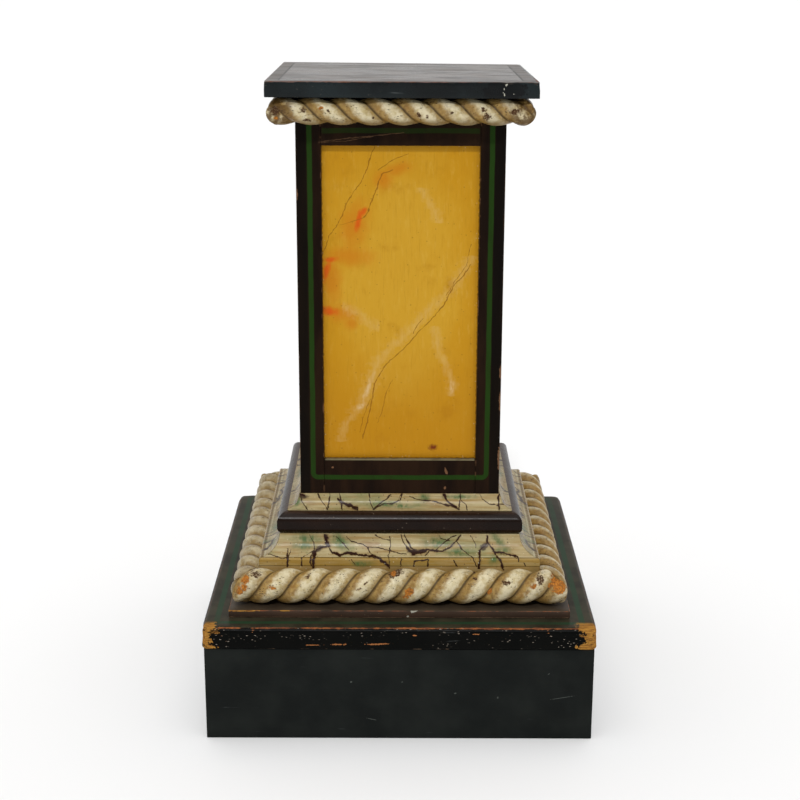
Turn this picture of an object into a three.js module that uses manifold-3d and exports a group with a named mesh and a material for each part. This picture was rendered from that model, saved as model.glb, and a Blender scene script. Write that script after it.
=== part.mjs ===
// A painted wooden pedestal stand, about 850 mm tall.
// A square hollow shaft of framed panels stands on coved mouldings, a rope moulding, a step board and
// a box plinth. A second rope moulding runs under the square top slab.
// Millimetres, +Z up, the front looks along -Y. The origin is on the ground, under the middle.

import * as THREE from "three";
import { mergeVertices } from "three/addons/utils/BufferGeometryUtils.js";
import Module from "manifold-3d";

const wasm = await Module();
wasm.setup();

// Clearances, how far a cut runs past the wood, and how close two corners are to be one

const TOUCH_GAP = 0.3;
const MITRE_GAP = 0.2;
const CUT_OVERRUN = 1;
const SAME_POINT = 1e-4;

// Levels above the ground, from the bottom up

const PLINTH_TOP = 129;
const CAP_TOP = 159.5;
const STEP_TOP = 170;
const FILLET_TOP = 228.3;
const LOWER_COVE_TOP = 253.5;
const TORUS_TOP = 282;
const UPPER_COVE_TOP = 301.5;
const PANEL_LOW = 349;
const PANEL_HIGH = 767;
const SLAB_LOW = 829;
const STAND_TOP = 850;

// Half widths of the square layers

const PLINTH_HALF = 255;
const CAP_HALF = 258;
const STEP_HALF = 225;
const SHAFT_HALF = 133.5;
const PANEL_HALF = 101.2;
const SLAB_HALF = 169;

// Board sizes

const PLINTH_BOARD = 20;
const CAP_CORNER = 9;
const CAP_TOP_ROUND = 7;
const CAP_BOTTOM_ROUND = 3;
const CAP_ARC_STEPS = 3;
const CAP_CORNER_STEPS = 4;
const SLAB_CLIPPED_CORNER = 5;
const FRAME_THICKNESS = 20;
const PANEL_RECESS = 8;
const PANEL_THICKNESS = 8;
const PANEL_TUCK = 10;

// Mouldings, as half width from the stand's axis

const FILLET_HALF = 187;
const FILLET_EASE = 1.8;
const LOWER_COVE_OUTER = 185;
const LOWER_COVE_INNER = 161;
const TORUS_FOOT_HALF = 156;
const TORUS_HALF = 164;
const TORUS_WIDEST_LOW = 262;
const TORUS_WIDEST_HIGH = 270;
const TORUS_TOP_HALF = 150;
const UPPER_COVE_OUTER = 150.5;
const UPPER_COVE_INNER = 136.5;
const UPPER_COVE_LIP = 284.5;
const UPPER_COVE_NECK = 297.5;
const UPPER_FILLET_HALF = 135.3;
const COVE_STEPS = 6;
const TORUS_STEPS = 4;

// Rope mouldings: two strands, each a round ridge, in shares of the rope's radius

const STRANDS = 2;
const STRAND_RADIUS = 0.78;
const STRAND_OFFSET = 1 - STRAND_RADIUS;
const POINTS_PER_STRAND = 5;
const ROWS_PER_TURN = 9;
const CROSSING_ROWS = 7;
const BLANK_REACH = 2;

const LOWER_ROPE = {
  name: "lower_rope",
  centreHalf: 198.8,
  centreLevel: 194.3,
  radius: 23.4,
  lead: 76.25,
  lean: 1,
  turn: 1.42,
  backHalf: FILLET_HALF + TOUCH_GAP,
  floor: STEP_TOP + TOUCH_GAP,
  ceiling: Infinity,
};

const UPPER_ROPE = {
  name: "upper_rope",
  centreHalf: 150.2,
  centreLevel: 811.6,
  radius: 17.3,
  lead: 77.25,
  lean: -1,
  turn: 2.03,
  backHalf: SHAFT_HALF + TOUCH_GAP,
  floor: -Infinity,
  ceiling: SLAB_LOW - TOUCH_GAP,
};

const SIDES = ["front", "right", "back", "left"];
const QUARTER_TURN = Math.PI / 2;
const FULL_TURN = Math.PI * 2;

// Finishes

const BLACK_PAINT = { color: 0x24262a, roughness: 0.5, metalness: 0 };
const BROWN_BLACK_PAINT = { color: 0x2b211c, roughness: 0.45, metalness: 0 };
const AUBERGINE_PAINT = { color: 0x35262a, roughness: 0.3, metalness: 0 };
const YELLOW_MARBLING = { color: 0xc79a35, roughness: 0.4, metalness: 0 };
const CREAM_MARBLING = { color: 0xbdb490, roughness: 0.4, metalness: 0 };
const CREAM_PAINT = { color: 0xc6b98f, roughness: 0.45, metalness: 0 };

// One named piece of wood with its finish.
function piece(name, geometry, finish) {
  const mesh = new THREE.Mesh(geometry, new THREE.MeshStandardMaterial(finish));
  mesh.name = name;
  return mesh;
}

// The mesh with its shared corners merged, and nothing but positions left.
function bare(geometry) {
  geometry.deleteAttribute("normal");
  geometry.deleteAttribute("uv");
  return mergeVertices(geometry, SAME_POINT);
}

function toSolid(geometry) {
  const merged = bare(geometry);
  const vertProperties = new Float32Array(merged.attributes.position.array);
  const triVerts = new Uint32Array(merged.index.array);
  return new wasm.Manifold(new wasm.Mesh({ numProp: 3, vertProperties, triVerts }));
}

function fromSolid(solid) {
  const mesh = solid.getMesh();
  const geometry = new THREE.BufferGeometry();
  geometry.setAttribute("position", new THREE.BufferAttribute(new Float32Array(mesh.vertProperties), 3));
  geometry.setIndex(new THREE.BufferAttribute(new Uint32Array(mesh.triVerts), 1));
  return geometry;
}

// A box between two opposite corners.
function boxBetween(low, high) {
  const size = high.map((value, axis) => value - low[axis]);
  const middle = high.map((value, axis) => (value + low[axis]) / 2);
  return new THREE.BoxGeometry(...size).translate(...middle);
}

// A length of moulding or board on the front side, with both ends cut at 45 degrees to meet its
// neighbours. Its section is drawn as (half width, level).
function mitredLength(section) {
  const shape = new THREE.Shape(section.map(([half, level]) => new THREE.Vector2(half, level)));
  const geometry = bare(new THREE.ExtrudeGeometry(shape, { depth: 1, steps: 1, bevelEnabled: false }));
  const position = geometry.attributes.position;
  for (let i = 0; i < position.count; i += 1) {
    const half = position.getX(i);
    const level = position.getY(i);
    const end = position.getZ(i) > 0.5 ? -1 : 1;
    position.setXYZ(i, end * (half - MITRE_GAP), -half, level);
  }
  return geometry;
}

// Points on a quarter of an ellipse, from one angle to another, both in quarter turns.
function quarterArc(centre, radii, from, to, steps) {
  return Array.from({ length: steps + 1 }, (_, i) => {
    const angle = (from + ((to - from) * i) / steps) * QUARTER_TURN;
    return [centre[0] + radii[0] * Math.cos(angle), centre[1] + radii[1] * Math.sin(angle)];
  });
}

// Places the four copies of a front piece round the stand.
function aroundStand(nameFor, geometry, finish) {
  return SIDES.map((side, turn) => {
    const copy = piece(nameFor(side), geometry.clone(), finish);
    copy.rotation.z = turn * QUARTER_TURN;
    return copy;
  });
}

// Plinth

function plinthWalls() {
  const section = [
    [PLINTH_HALF - PLINTH_BOARD, 0],
    [PLINTH_HALF, 0],
    [PLINTH_HALF, PLINTH_TOP],
    [PLINTH_HALF - PLINTH_BOARD, PLINTH_TOP],
  ];
  return aroundStand((side) => `plinth_wall_${side}`, mitredLength(section), BLACK_PAINT);
}

// One level of the cap board: a square with rounded corners, drawn in from the board's edge by inset.
function roundedSquareRing(half, corner, inset, level) {
  const points = [];
  for (let quarter = 0; quarter < 4; quarter += 1) {
    for (let i = 0; i <= CAP_CORNER_STEPS; i += 1) {
      const angle = (quarter + i / CAP_CORNER_STEPS) * QUARTER_TURN;
      const middle = (quarter + 0.5) * QUARTER_TURN;
      const reach = (half - corner) * Math.SQRT2;
      points.push([
        reach * Math.cos(middle) + (corner - inset) * Math.cos(angle),
        reach * Math.sin(middle) + (corner - inset) * Math.sin(angle),
        level,
      ]);
    }
  }
  return points;
}

function netGeometry(points, faces) {
  const geometry = new THREE.BufferGeometry();
  geometry.setAttribute("position", new THREE.Float32BufferAttribute(points.flat(), 3));
  geometry.setIndex(faces);
  return geometry;
}

// A closed skin over a stack of rings that all have the same number of points.
function skinOverRings(rings) {
  const count = rings[0].length;
  const faces = [];
  for (let row = 0; row < rings.length - 1; row += 1) {
    for (let i = 0; i < count; i += 1) {
      const here = row * count + i;
      const next = row * count + ((i + 1) % count);
      faces.push(here, next, next + count);
      faces.push(here, next + count, here + count);
    }
  }
  const lastRing = (rings.length - 1) * count;
  for (let i = 1; i < count - 1; i += 1) {
    faces.push(0, i + 1, i);
    faces.push(lastRing, lastRing + i, lastRing + i + 1);
  }
  return netGeometry(rings.flat(), faces);
}

function plinthCap() {
  const low = PLINTH_TOP + TOUCH_GAP;
  const levels = [];
  for (let i = 0; i <= CAP_ARC_STEPS; i += 1) {
    const angle = (i / CAP_ARC_STEPS) * QUARTER_TURN;
    levels.push([CAP_BOTTOM_ROUND * (1 - Math.sin(angle)), low + CAP_BOTTOM_ROUND * (1 - Math.cos(angle))]);
  }
  for (let i = 0; i <= CAP_ARC_STEPS; i += 1) {
    const angle = (i / CAP_ARC_STEPS) * QUARTER_TURN;
    levels.push([CAP_TOP_ROUND * (1 - Math.cos(angle)), CAP_TOP - CAP_TOP_ROUND * (1 - Math.sin(angle))]);
  }
  const rings = levels.map(([inset, level]) => roundedSquareRing(CAP_HALF, CAP_CORNER, inset, level));
  return piece("plinth_cap", skinOverRings(rings), BLACK_PAINT);
}

function stepBoard() {
  const board = boxBetween(
    [-STEP_HALF, -STEP_HALF, CAP_TOP + TOUCH_GAP],
    [STEP_HALF, STEP_HALF, STEP_TOP],
  );
  return piece("step_board", board, BLACK_PAINT);
}

// Mouldings round the foot of the shaft

function lowerCove() {
  const inner = SHAFT_HALF + TOUCH_GAP;
  const foot = STEP_TOP + TOUCH_GAP;
  const cove = quarterArc(
    [LOWER_COVE_OUTER, LOWER_COVE_TOP],
    [LOWER_COVE_OUTER - LOWER_COVE_INNER, LOWER_COVE_TOP - FILLET_TOP],
    3,
    2,
    COVE_STEPS,
  );
  const section = [
    [inner, foot],
    [FILLET_HALF, foot],
    [FILLET_HALF, FILLET_TOP - FILLET_EASE],
    ...cove,
    [inner, LOWER_COVE_TOP],
  ];
  return aroundStand((side) => `lower_cove_${side}`, mitredLength(section), CREAM_MARBLING);
}

function torus() {
  const inner = SHAFT_HALF + TOUCH_GAP;
  const foot = LOWER_COVE_TOP + TOUCH_GAP;
  const underside = quarterArc(
    [TORUS_FOOT_HALF, TORUS_WIDEST_LOW],
    [TORUS_HALF - TORUS_FOOT_HALF, TORUS_WIDEST_LOW - foot],
    -1,
    0,
    TORUS_STEPS,
  );
  const shoulder = quarterArc(
    [TORUS_TOP_HALF, TORUS_WIDEST_HIGH],
    [TORUS_HALF - TORUS_TOP_HALF, TORUS_TOP - TORUS_WIDEST_HIGH],
    0,
    1,
    TORUS_STEPS,
  );
  const section = [[inner, foot], ...underside, ...shoulder, [inner, TORUS_TOP]];
  return aroundStand((side) => `torus_${side}`, mitredLength(section), AUBERGINE_PAINT);
}

function upperCove() {
  const inner = SHAFT_HALF + TOUCH_GAP;
  const foot = TORUS_TOP + TOUCH_GAP;
  const cove = quarterArc(
    [UPPER_COVE_OUTER, UPPER_COVE_NECK],
    [UPPER_COVE_OUTER - UPPER_COVE_INNER, UPPER_COVE_NECK - UPPER_COVE_LIP],
    3,
    2,
    COVE_STEPS,
  );
  const section = [
    [inner, foot],
    [UPPER_COVE_OUTER, foot],
    ...cove,
    [UPPER_FILLET_HALF, UPPER_COVE_NECK],
    [UPPER_FILLET_HALF, UPPER_COVE_TOP],
    [inner, UPPER_COVE_TOP],
  ];
  return aroundStand((side) => `upper_cove_${side}`, mitredLength(section), CREAM_MARBLING);
}

// Rope mouldings

// How far the rope's surface lies from its axis, at an angle measured from the middle of a strand.
function ropeReach(radius, angle) {
  const offset = STRAND_OFFSET * radius;
  const strand = STRAND_RADIUS * radius;
  const pitch = FULL_TURN / STRANDS;
  const fromCrown = angle - Math.round(angle / pitch) * pitch;
  const across = offset * Math.sin(fromCrown);
  return offset * Math.cos(fromCrown) + Math.sqrt(strand * strand - across * across);
}

// The twisted rod before it is planed and mitred, running past both ends of its moulding.
// The mesh is a net of two sets of lines. Some follow the strands, one of them along the bottom of
// each groove. The others cross them squarely, and gain CROSSING_ROWS rows once round the rod.
function ropeRod(rope) {
  const count = STRANDS * POINTS_PER_STRAND;
  const step = rope.lead / ROWS_PER_TURN;
  const rows = 2 * Math.ceil((rope.centreHalf + rope.radius) / step + CROSSING_ROWS);
  const points = [];
  for (let row = 0; row <= rows; row += 1) {
    for (let i = 0; i < count; i += 1) {
      const along = step * (rows / 2 - row - (CROSSING_ROWS * i) / count);
      const fromCrown = ((i + 0.5) / count) * FULL_TURN;
      const angle = fromCrown + rope.turn + (FULL_TURN * along) / rope.lead;
      const reach = ropeReach(rope.radius, fromCrown);
      const half = rope.centreHalf + reach * Math.cos(angle);
      points.push([rope.lean * along, -half, rope.centreLevel + reach * Math.sin(angle)]);
    }
  }
  const at = (row, i) => (i < count ? row * count + i : (row + CROSSING_ROWS) * count);
  const faces = [];
  const triangle = (a, b, c) => faces.push(...(rope.lean > 0 ? [a, b, c] : [a, c, b]));
  for (let row = 0; row < rows; row += 1) {
    for (let i = 0; i < count; i += 1) {
      if (i < count - 1 || row + CROSSING_ROWS < rows) {
        triangle(at(row, i), at(row, i + 1), at(row + 1, i + 1));
        triangle(at(row, i), at(row + 1, i + 1), at(row + 1, i));
      }
    }
  }
  closeEnds(points, faces, [-rope.centreHalf, rope.centreLevel]);
  return netGeometry(points, faces);
}

// Closes each open end of a net with a fan of triangles to a point on the net's axis.
function closeEnds(points, faces, axis) {
  const edges = new Map();
  for (let i = 0; i < faces.length; i += 3) {
    for (const [from, to] of [[0, 1], [1, 2], [2, 0]]) {
      const edge = [faces[i + from], faces[i + to]];
      edges.set(edge.join(" "), edge);
    }
  }
  const open = [...edges.values()].filter(([from, to]) => !edges.has(`${to} ${from}`));
  for (const side of [-1, 1]) {
    const rim = open.filter(([from]) => Math.sign(points[from][0]) === side);
    const farthest = Math.max(...rim.map(([from]) => Math.abs(points[from][0])));
    const centre = points.push([side * farthest, ...axis]) - 1;
    rim.forEach(([from, to]) => faces.push(to, from, centre));
  }
}

// One mitred length. Its back, foot and top are planed flat where they meet the shaft, the board
// below or the slab above.
function ropeLength(rope) {
  const spare = rope.radius * BLANK_REACH;
  const low = Math.max(rope.floor, rope.centreLevel - spare);
  const high = Math.min(rope.ceiling, rope.centreLevel + spare);
  const blank = mitredLength([
    [rope.backHalf, low],
    [rope.centreHalf + spare, low],
    [rope.centreHalf + spare, high],
    [rope.backHalf, high],
  ]);
  return fromSolid(toSolid(ropeRod(rope)).intersect(toSolid(blank)));
}

function ropeMoulding(rope) {
  return aroundStand((side) => `${rope.name}_${side}`, ropeLength(rope), CREAM_PAINT);
}

// Shaft

// A stile: mitred at the shaft's corner, with a seat cut in its back edge for the panel.
function stile(hand) {
  const inner = SHAFT_HALF - FRAME_THICKNESS;
  const edge = PANEL_HALF + TOUCH_GAP;
  const plan = [
    [edge, -SHAFT_HALF],
    [SHAFT_HALF - MITRE_GAP, -SHAFT_HALF],
    [inner - MITRE_GAP, -inner],
    [edge, -inner],
  ];
  const shape = new THREE.Shape(plan.map(([x, y]) => new THREE.Vector2(hand * x, y)));
  const foot = STEP_TOP + TOUCH_GAP;
  const depth = SLAB_LOW - TOUCH_GAP - foot;
  const post = new THREE.ExtrudeGeometry(shape, { depth, bevelEnabled: false }).translate(0, 0, foot);
  return fromSolid(toSolid(post).subtract(panelSeat()));
}

// The space cut out of the frame's back, where the panel lies.
function panelSeat() {
  const half = PANEL_HALF + PANEL_TUCK;
  const face = -SHAFT_HALF + PANEL_RECESS;
  const back = -SHAFT_HALF + FRAME_THICKNESS + CUT_OVERRUN;
  return toSolid(boxBetween([-half, face, PANEL_LOW - PANEL_TUCK], [half, back, PANEL_HIGH + PANEL_TUCK]));
}

function rail(low, high) {
  const board = boxBetween(
    [-PANEL_HALF, -SHAFT_HALF, low],
    [PANEL_HALF, -SHAFT_HALF + FRAME_THICKNESS, high],
  );
  return fromSolid(toSolid(board).subtract(panelSeat()));
}

function panel() {
  const reach = PANEL_TUCK - TOUCH_GAP;
  const face = -SHAFT_HALF + PANEL_RECESS + TOUCH_GAP;
  return boxBetween(
    [-PANEL_HALF - reach, face, PANEL_LOW - reach],
    [PANEL_HALF + reach, face + PANEL_THICKNESS, PANEL_HIGH + reach],
  );
}

function shaft() {
  const rails = [
    ["bottom_rail", rail(STEP_TOP + TOUCH_GAP, PANEL_LOW)],
    ["top_rail", rail(PANEL_HIGH, SLAB_LOW - TOUCH_GAP)],
  ];
  const stiles = [
    ["stile_left", stile(-1)],
    ["stile_right", stile(1)],
  ];
  const frame = [...stiles, ...rails].flatMap(([name, geometry]) =>
    aroundStand((side) => `${side}_${name}`, geometry, BROWN_BLACK_PAINT),
  );
  return [...frame, ...aroundStand((side) => `${side}_panel`, panel(), YELLOW_MARBLING)];
}

// Top slab, with one back corner knocked off

function topSlab() {
  const outline = [
    [-SLAB_HALF, -SLAB_HALF],
    [SLAB_HALF, -SLAB_HALF],
    [SLAB_HALF, SLAB_HALF - SLAB_CLIPPED_CORNER],
    [SLAB_HALF - SLAB_CLIPPED_CORNER, SLAB_HALF],
    [-SLAB_HALF, SLAB_HALF],
  ];
  const shape = new THREE.Shape(outline.map(([x, y]) => new THREE.Vector2(x, y)));
  const board = new THREE.ExtrudeGeometry(shape, { depth: STAND_TOP - SLAB_LOW, bevelEnabled: false });
  return piece("top_slab", board.translate(0, 0, SLAB_LOW), BLACK_PAINT);
}

const stand = new THREE.Group();
stand.add(
  ...plinthWalls(),
  plinthCap(),
  stepBoard(),
  ...ropeMoulding(LOWER_ROPE),
  ...lowerCove(),
  ...torus(),
  ...upperCove(),
  ...shaft(),
  ...ropeMoulding(UPPER_ROPE),
  topSlab(),
);

export default stand;
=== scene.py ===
"""The looks of a painted wooden pedestal stand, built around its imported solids.

Boards, mouldings and twisted rope carvings stand in the places of the solids. The paintwork is
laid over them with material nodes: black and brown-black paint, marbling, and cream rope with
chips down to the wood. Sizes are in millimetres until a mesh is made, and the front looks along -Y.
"""
import functools
import logging
import math
from collections.abc import Callable, Iterable, Sequence
from dataclasses import dataclass
from enum import Enum

import bmesh
import bpy
import numpy as np
from mathutils import Euler, Matrix, Vector, noise


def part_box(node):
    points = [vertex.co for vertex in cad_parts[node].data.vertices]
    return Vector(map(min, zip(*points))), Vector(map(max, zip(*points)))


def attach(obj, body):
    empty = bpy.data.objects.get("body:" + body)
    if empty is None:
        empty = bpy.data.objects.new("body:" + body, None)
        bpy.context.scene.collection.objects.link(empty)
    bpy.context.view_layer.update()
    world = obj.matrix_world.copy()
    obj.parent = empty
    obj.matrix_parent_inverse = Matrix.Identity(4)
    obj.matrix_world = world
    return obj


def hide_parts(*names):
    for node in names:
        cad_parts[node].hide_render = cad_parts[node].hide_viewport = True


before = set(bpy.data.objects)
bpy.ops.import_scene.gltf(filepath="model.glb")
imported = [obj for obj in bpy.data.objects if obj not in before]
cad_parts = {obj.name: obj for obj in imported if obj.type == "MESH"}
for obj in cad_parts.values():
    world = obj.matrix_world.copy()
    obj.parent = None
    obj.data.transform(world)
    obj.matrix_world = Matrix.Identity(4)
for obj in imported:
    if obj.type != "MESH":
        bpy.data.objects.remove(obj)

log = logging.getLogger("pedestal")

Point = tuple[float, float]
Place = tuple[float, float, float]
Colour = tuple[float, float, float, float]
Socket = bpy.types.NodeSocket
Value = Socket | float

MM = 0.001  # one millimetre, in Blender's metres
BODY = "root"
MITRE_GAP = 0.2  # from each length of a moulding to the plane of its mitre
TOUCH_GAP = 0.3  # between pieces that would be glued together
FAR = 1e6  # farther away than anything on the stand
TINY = 1e-3  # as good as nought, in millimetres or radians
EVEN = (1.0, 1.0, 1.0)  # no stretch


class Side(Enum):
    """The four sides of the stand, as quarter turns from the front."""

    FRONT = 0
    RIGHT = 1
    BACK = 2
    LEFT = 3

    @property
    def label(self) -> str:
        """The side's name in the names of nodes and pieces."""
        return self.name.lower()

    @property
    def angle(self) -> float:
        """How far the side is turned from the front, in radians."""
        return self.value * math.pi / 2

    @property
    def hand(self) -> float:
        """Which way round the front's brushwork is repeated here: the right and back mirror it."""
        return -1.0 if self in (Side.RIGHT, Side.BACK) else 1.0


class Slot(Enum):
    """The material slots of the stand's finishes."""

    BLACK = "black_paint"
    BROWN_BLACK = "brown_black_paint"
    YELLOW_MARBLE = "yellow_marbling"
    CREAM_MARBLE = "cream_marbling"
    AUBERGINE = "aubergine_paint"
    CREAM = "cream_paint"


def colour(code: str) -> Colour:
    """Turns a six-digit hex code into a linear colour.

    Args:
        code: Two hex digits each for red, green and blue.

    Returns:
        The linear red, green, blue and an alpha of one.
    """
    channels = [int(code[i:i + 2], 16) / 255 for i in (0, 2, 4)]
    red, green, blue = (c / 12.92 if c <= 0.04045 else ((c + 0.055) / 1.055) ** 2.4 for c in channels)
    return (red, green, blue, 1.0)


def box_of(node: str) -> tuple[np.ndarray, np.ndarray]:
    """Gives the lowest and highest corners of a solid in millimetres.

    Args:
        node: The solid's name.

    Returns:
        The two corners.
    """
    low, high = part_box(node)
    return np.array(low) / MM, np.array(high) / MM


# Meshes


@dataclass
class Shape:
    """A mesh on its way to being a piece: points in millimetres, and faces as rows of point numbers."""

    points: np.ndarray
    faces: list[tuple[int, ...]]

    def turned(self, side: Side) -> "Shape":
        """Gives the front's shape turned to another side.

        Args:
            side: The side that the shape goes to.

        Returns:
            The turned shape.
        """
        spin = np.array(Matrix.Rotation(side.angle, 3, "Z"))
        return Shape(self.points @ spin.T, self.faces)


def shape_of_solid(node: str) -> Shape:
    """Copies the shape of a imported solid, as a start for a finer piece.

    Args:
        node: The solid's name.

    Returns:
        Its shape.
    """
    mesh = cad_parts[node].data
    points = np.zeros(len(mesh.vertices) * 3)
    mesh.vertices.foreach_get("co", points)
    faces = [tuple(face.vertices) for face in mesh.polygons]
    return Shape(points.reshape(-1, 3) / MM, faces)


@dataclass(frozen=True)
class Bite:
    """A place where wood is worn or knocked away."""

    centre: Place
    radius: float
    depth: float

    def taken(self, place: Vector) -> float:
        """Gives how deep the wood is gone at a place.

        Args:
            place: The place.

        Returns:
            The depth, which is nought outside the bite.
        """
        share = (place - Vector(self.centre)).length / self.radius
        return self.depth * (1 - share * share) if share < 1 else 0.0


@dataclass(frozen=True)
class Handwork:
    """How a piece's wood is worked: eased arrises, slightly uneven faces and small losses."""

    ease: float = 0.6
    ease_steps: int = 2
    cell: float = 0.0
    uneven: float = 0.12
    uneven_size: float = 45.0
    bites: tuple[Bite, ...] = ()
    sharp: float = math.radians(32)
    crease: float = math.radians(40)


def open_mesh(shape: Shape) -> bmesh.types.BMesh:
    """Opens a shape for work.

    Args:
        shape: Its points and faces.

    Returns:
        The working mesh, in millimetres.
    """
    mesh = bmesh.new()
    verts = [mesh.verts.new(point) for point in shape.points]
    for face in shape.faces:
        mesh.faces.new([verts[i] for i in face])
    return mesh


def close_mesh(mesh: bmesh.types.BMesh, name: str, crease: float,
               side: Side = Side.FRONT) -> bpy.types.Object:
    """Turns a worked mesh into an object.

    Args:
        mesh: The working mesh, in millimetres.
        name: The object's name.
        crease: The angle above which an edge looks sharp.
        side: The side that it is turned to from the front.

    Returns:
        The object, in metres.
    """
    bmesh.ops.scale(mesh, vec=(MM, MM, MM), verts=mesh.verts[:])
    bmesh.ops.rotate(mesh, matrix=Matrix.Rotation(side.angle, 3, "Z"), verts=mesh.verts[:])
    data = bpy.data.meshes.new(name)
    mesh.to_mesh(data)
    mesh.free()
    for face in data.polygons:
        face.use_smooth = True
    data.set_sharp_from_angle(angle=crease)
    piece = bpy.data.objects.new(name, data)
    bpy.context.scene.collection.objects.link(piece)
    return piece


def cut_mesh(mesh: bmesh.types.BMesh, place: Vector | Place, normal: Vector,
             clear: bool = False) -> None:
    """Cuts a mesh with a plane.

    Args:
        mesh: The mesh.
        place: A place in the plane.
        normal: Which way the plane faces.
        clear: Whether what lies in front of the plane is taken away.
    """
    everything = mesh.verts[:] + mesh.edges[:] + mesh.faces[:]
    bmesh.ops.bisect_plane(mesh, geom=everything, plane_co=place, plane_no=normal, clear_outer=clear)


def ease_edges(mesh: bmesh.types.BMesh, work: Handwork) -> None:
    """Rounds the sharp arrises a little.

    Args:
        mesh: The piece.
        work: How it is worked.
    """
    sharp = [edge for edge in mesh.edges if edge.is_manifold and edge.calc_face_angle(0) > work.sharp]
    bmesh.ops.bevel(mesh, geom=sharp, offset=work.ease, segments=work.ease_steps, profile=0.5,
                    affect="EDGES", clamp_overlap=True)


def slice_faces(mesh: bmesh.types.BMesh, cell: float) -> None:
    """Cuts a piece's faces into cells, so that they can be uneven.

    Args:
        mesh: The piece, in millimetres.
        cell: The size of a cell.
    """
    points = np.array([vert.co for vert in mesh.verts])
    for axis in range(3):
        low, high = points[:, axis].min(), points[:, axis].max()
        count = int((high - low) / cell)
        normal = Vector([float(i == axis) for i in range(3)])
        for i in range(1, count):
            cut_mesh(mesh, normal * (low + (high - low) * i / count), normal)


def work_points(mesh: bmesh.types.BMesh, work: Handwork) -> None:
    """Makes the faces slightly uneven and takes the bites out, with ragged hollows.

    Args:
        mesh: The piece, in millimetres.
        work: How it is worked.
    """
    mesh.normal_update()
    for vert in mesh.verts:
        depth = work.uneven * (noise.noise(vert.co / work.uneven_size) - 1) / 2
        for bite in work.bites:
            taken = bite.taken(vert.co)
            if taken:
                depth -= taken * (0.75 + 0.5 * noise.noise(vert.co / (bite.radius / 3)))
        vert.co += vert.normal * depth


def make_piece(name: str, shape: Shape, work: Handwork) -> bpy.types.Object:
    """Makes the mesh of a piece.

    Args:
        name: The piece's name.
        shape: Its points and faces.
        work: How its wood is worked.

    Returns:
        The object, in metres.
    """
    mesh = open_mesh(shape)
    bmesh.ops.remove_doubles(mesh, verts=mesh.verts[:], dist=TINY)
    if work.cell:
        bmesh.ops.dissolve_limit(mesh, angle_limit=TINY, verts=mesh.verts[:], edges=mesh.edges[:])
    bmesh.ops.recalc_face_normals(mesh, faces=mesh.faces[:])
    if work.ease:
        ease_edges(mesh, work)
    if work.cell:
        slice_faces(mesh, work.cell)
    work_points(mesh, work)
    return close_mesh(mesh, name, work.crease)


def place_piece(piece: bpy.types.Object, nodes: Sequence[str],
                material: bpy.types.Material) -> None:
    """Paints a piece, and sets it in the place of its solids.

    Args:
        piece: The piece.
        nodes: The solids that it stands for.
        material: Its paint.
    """
    piece.data.materials.append(material)
    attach(piece, BODY)
    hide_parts(*nodes)
    log.info("%s: %d points", piece.name, len(piece.data.vertices))


def arc(centre: Point, radii: Point, start: float, end: float, steps: int) -> list[Point]:
    """Draws part of an ellipse.

    Args:
        centre: Its centre.
        radii: Its two radii.
        start: The first angle, in quarter turns.
        end: The last angle, in quarter turns.
        steps: How many steps there are between them.

    Returns:
        The points from start to end.
    """
    angles = np.linspace(start, end, steps + 1) * math.pi / 2
    return [(centre[0] + radii[0] * math.cos(a), centre[1] + radii[1] * math.sin(a)) for a in angles]


def tube_faces(rings: int, count: int) -> list[tuple[int, ...]]:
    """Lists the faces that join rings of points into a closed tube.

    Args:
        rings: How many rings there are.
        count: How many points each ring has.

    Returns:
        The faces round the tube and at its two ends.
    """
    faces: list[tuple[int, ...]] = []
    for row in range(rings - 1):
        for i in range(count):
            here, following = row * count + i, row * count + (i + 1) % count
            faces.append((here, following, following + count, here + count))
    faces.append(tuple(range(count)))
    faces.append(tuple(range((rings - 1) * count, rings * count)))
    return faces


def mitred_length(section: Sequence[Point], stations: int) -> Shape:
    """Runs a section along the front, with both ends cut at 45 degrees.

    Args:
        section: The closed section, as half widths and levels.
        stations: How many times the section is repeated along the length.

    Returns:
        The moulding's shape.
    """
    half, level = np.array(section).T
    along = np.linspace(-1, 1, stations)[:, None] * (half - MITRE_GAP)[None, :]
    outward, upward = np.broadcast_to(-half, along.shape), np.broadcast_to(level, along.shape)
    points = np.stack([along, outward, upward], -1).reshape(-1, 3)
    return Shape(points, tube_faces(stations, len(section)))


# Paint


@dataclass(frozen=True)
class Spot:
    """A round or long patch on a side, placed by its middle, with its two radii and its tilt."""

    across: float
    level: float
    width: float
    height: float
    tilt: float = 0.0


@dataclass(frozen=True)
class Vein:
    """A brush line through points, with the half width of its stroke.

    The points follow one another upwards, or from left to right where sideways is set.
    """

    points: tuple[Point, ...]
    stroke: float
    sideways: bool = False


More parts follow.
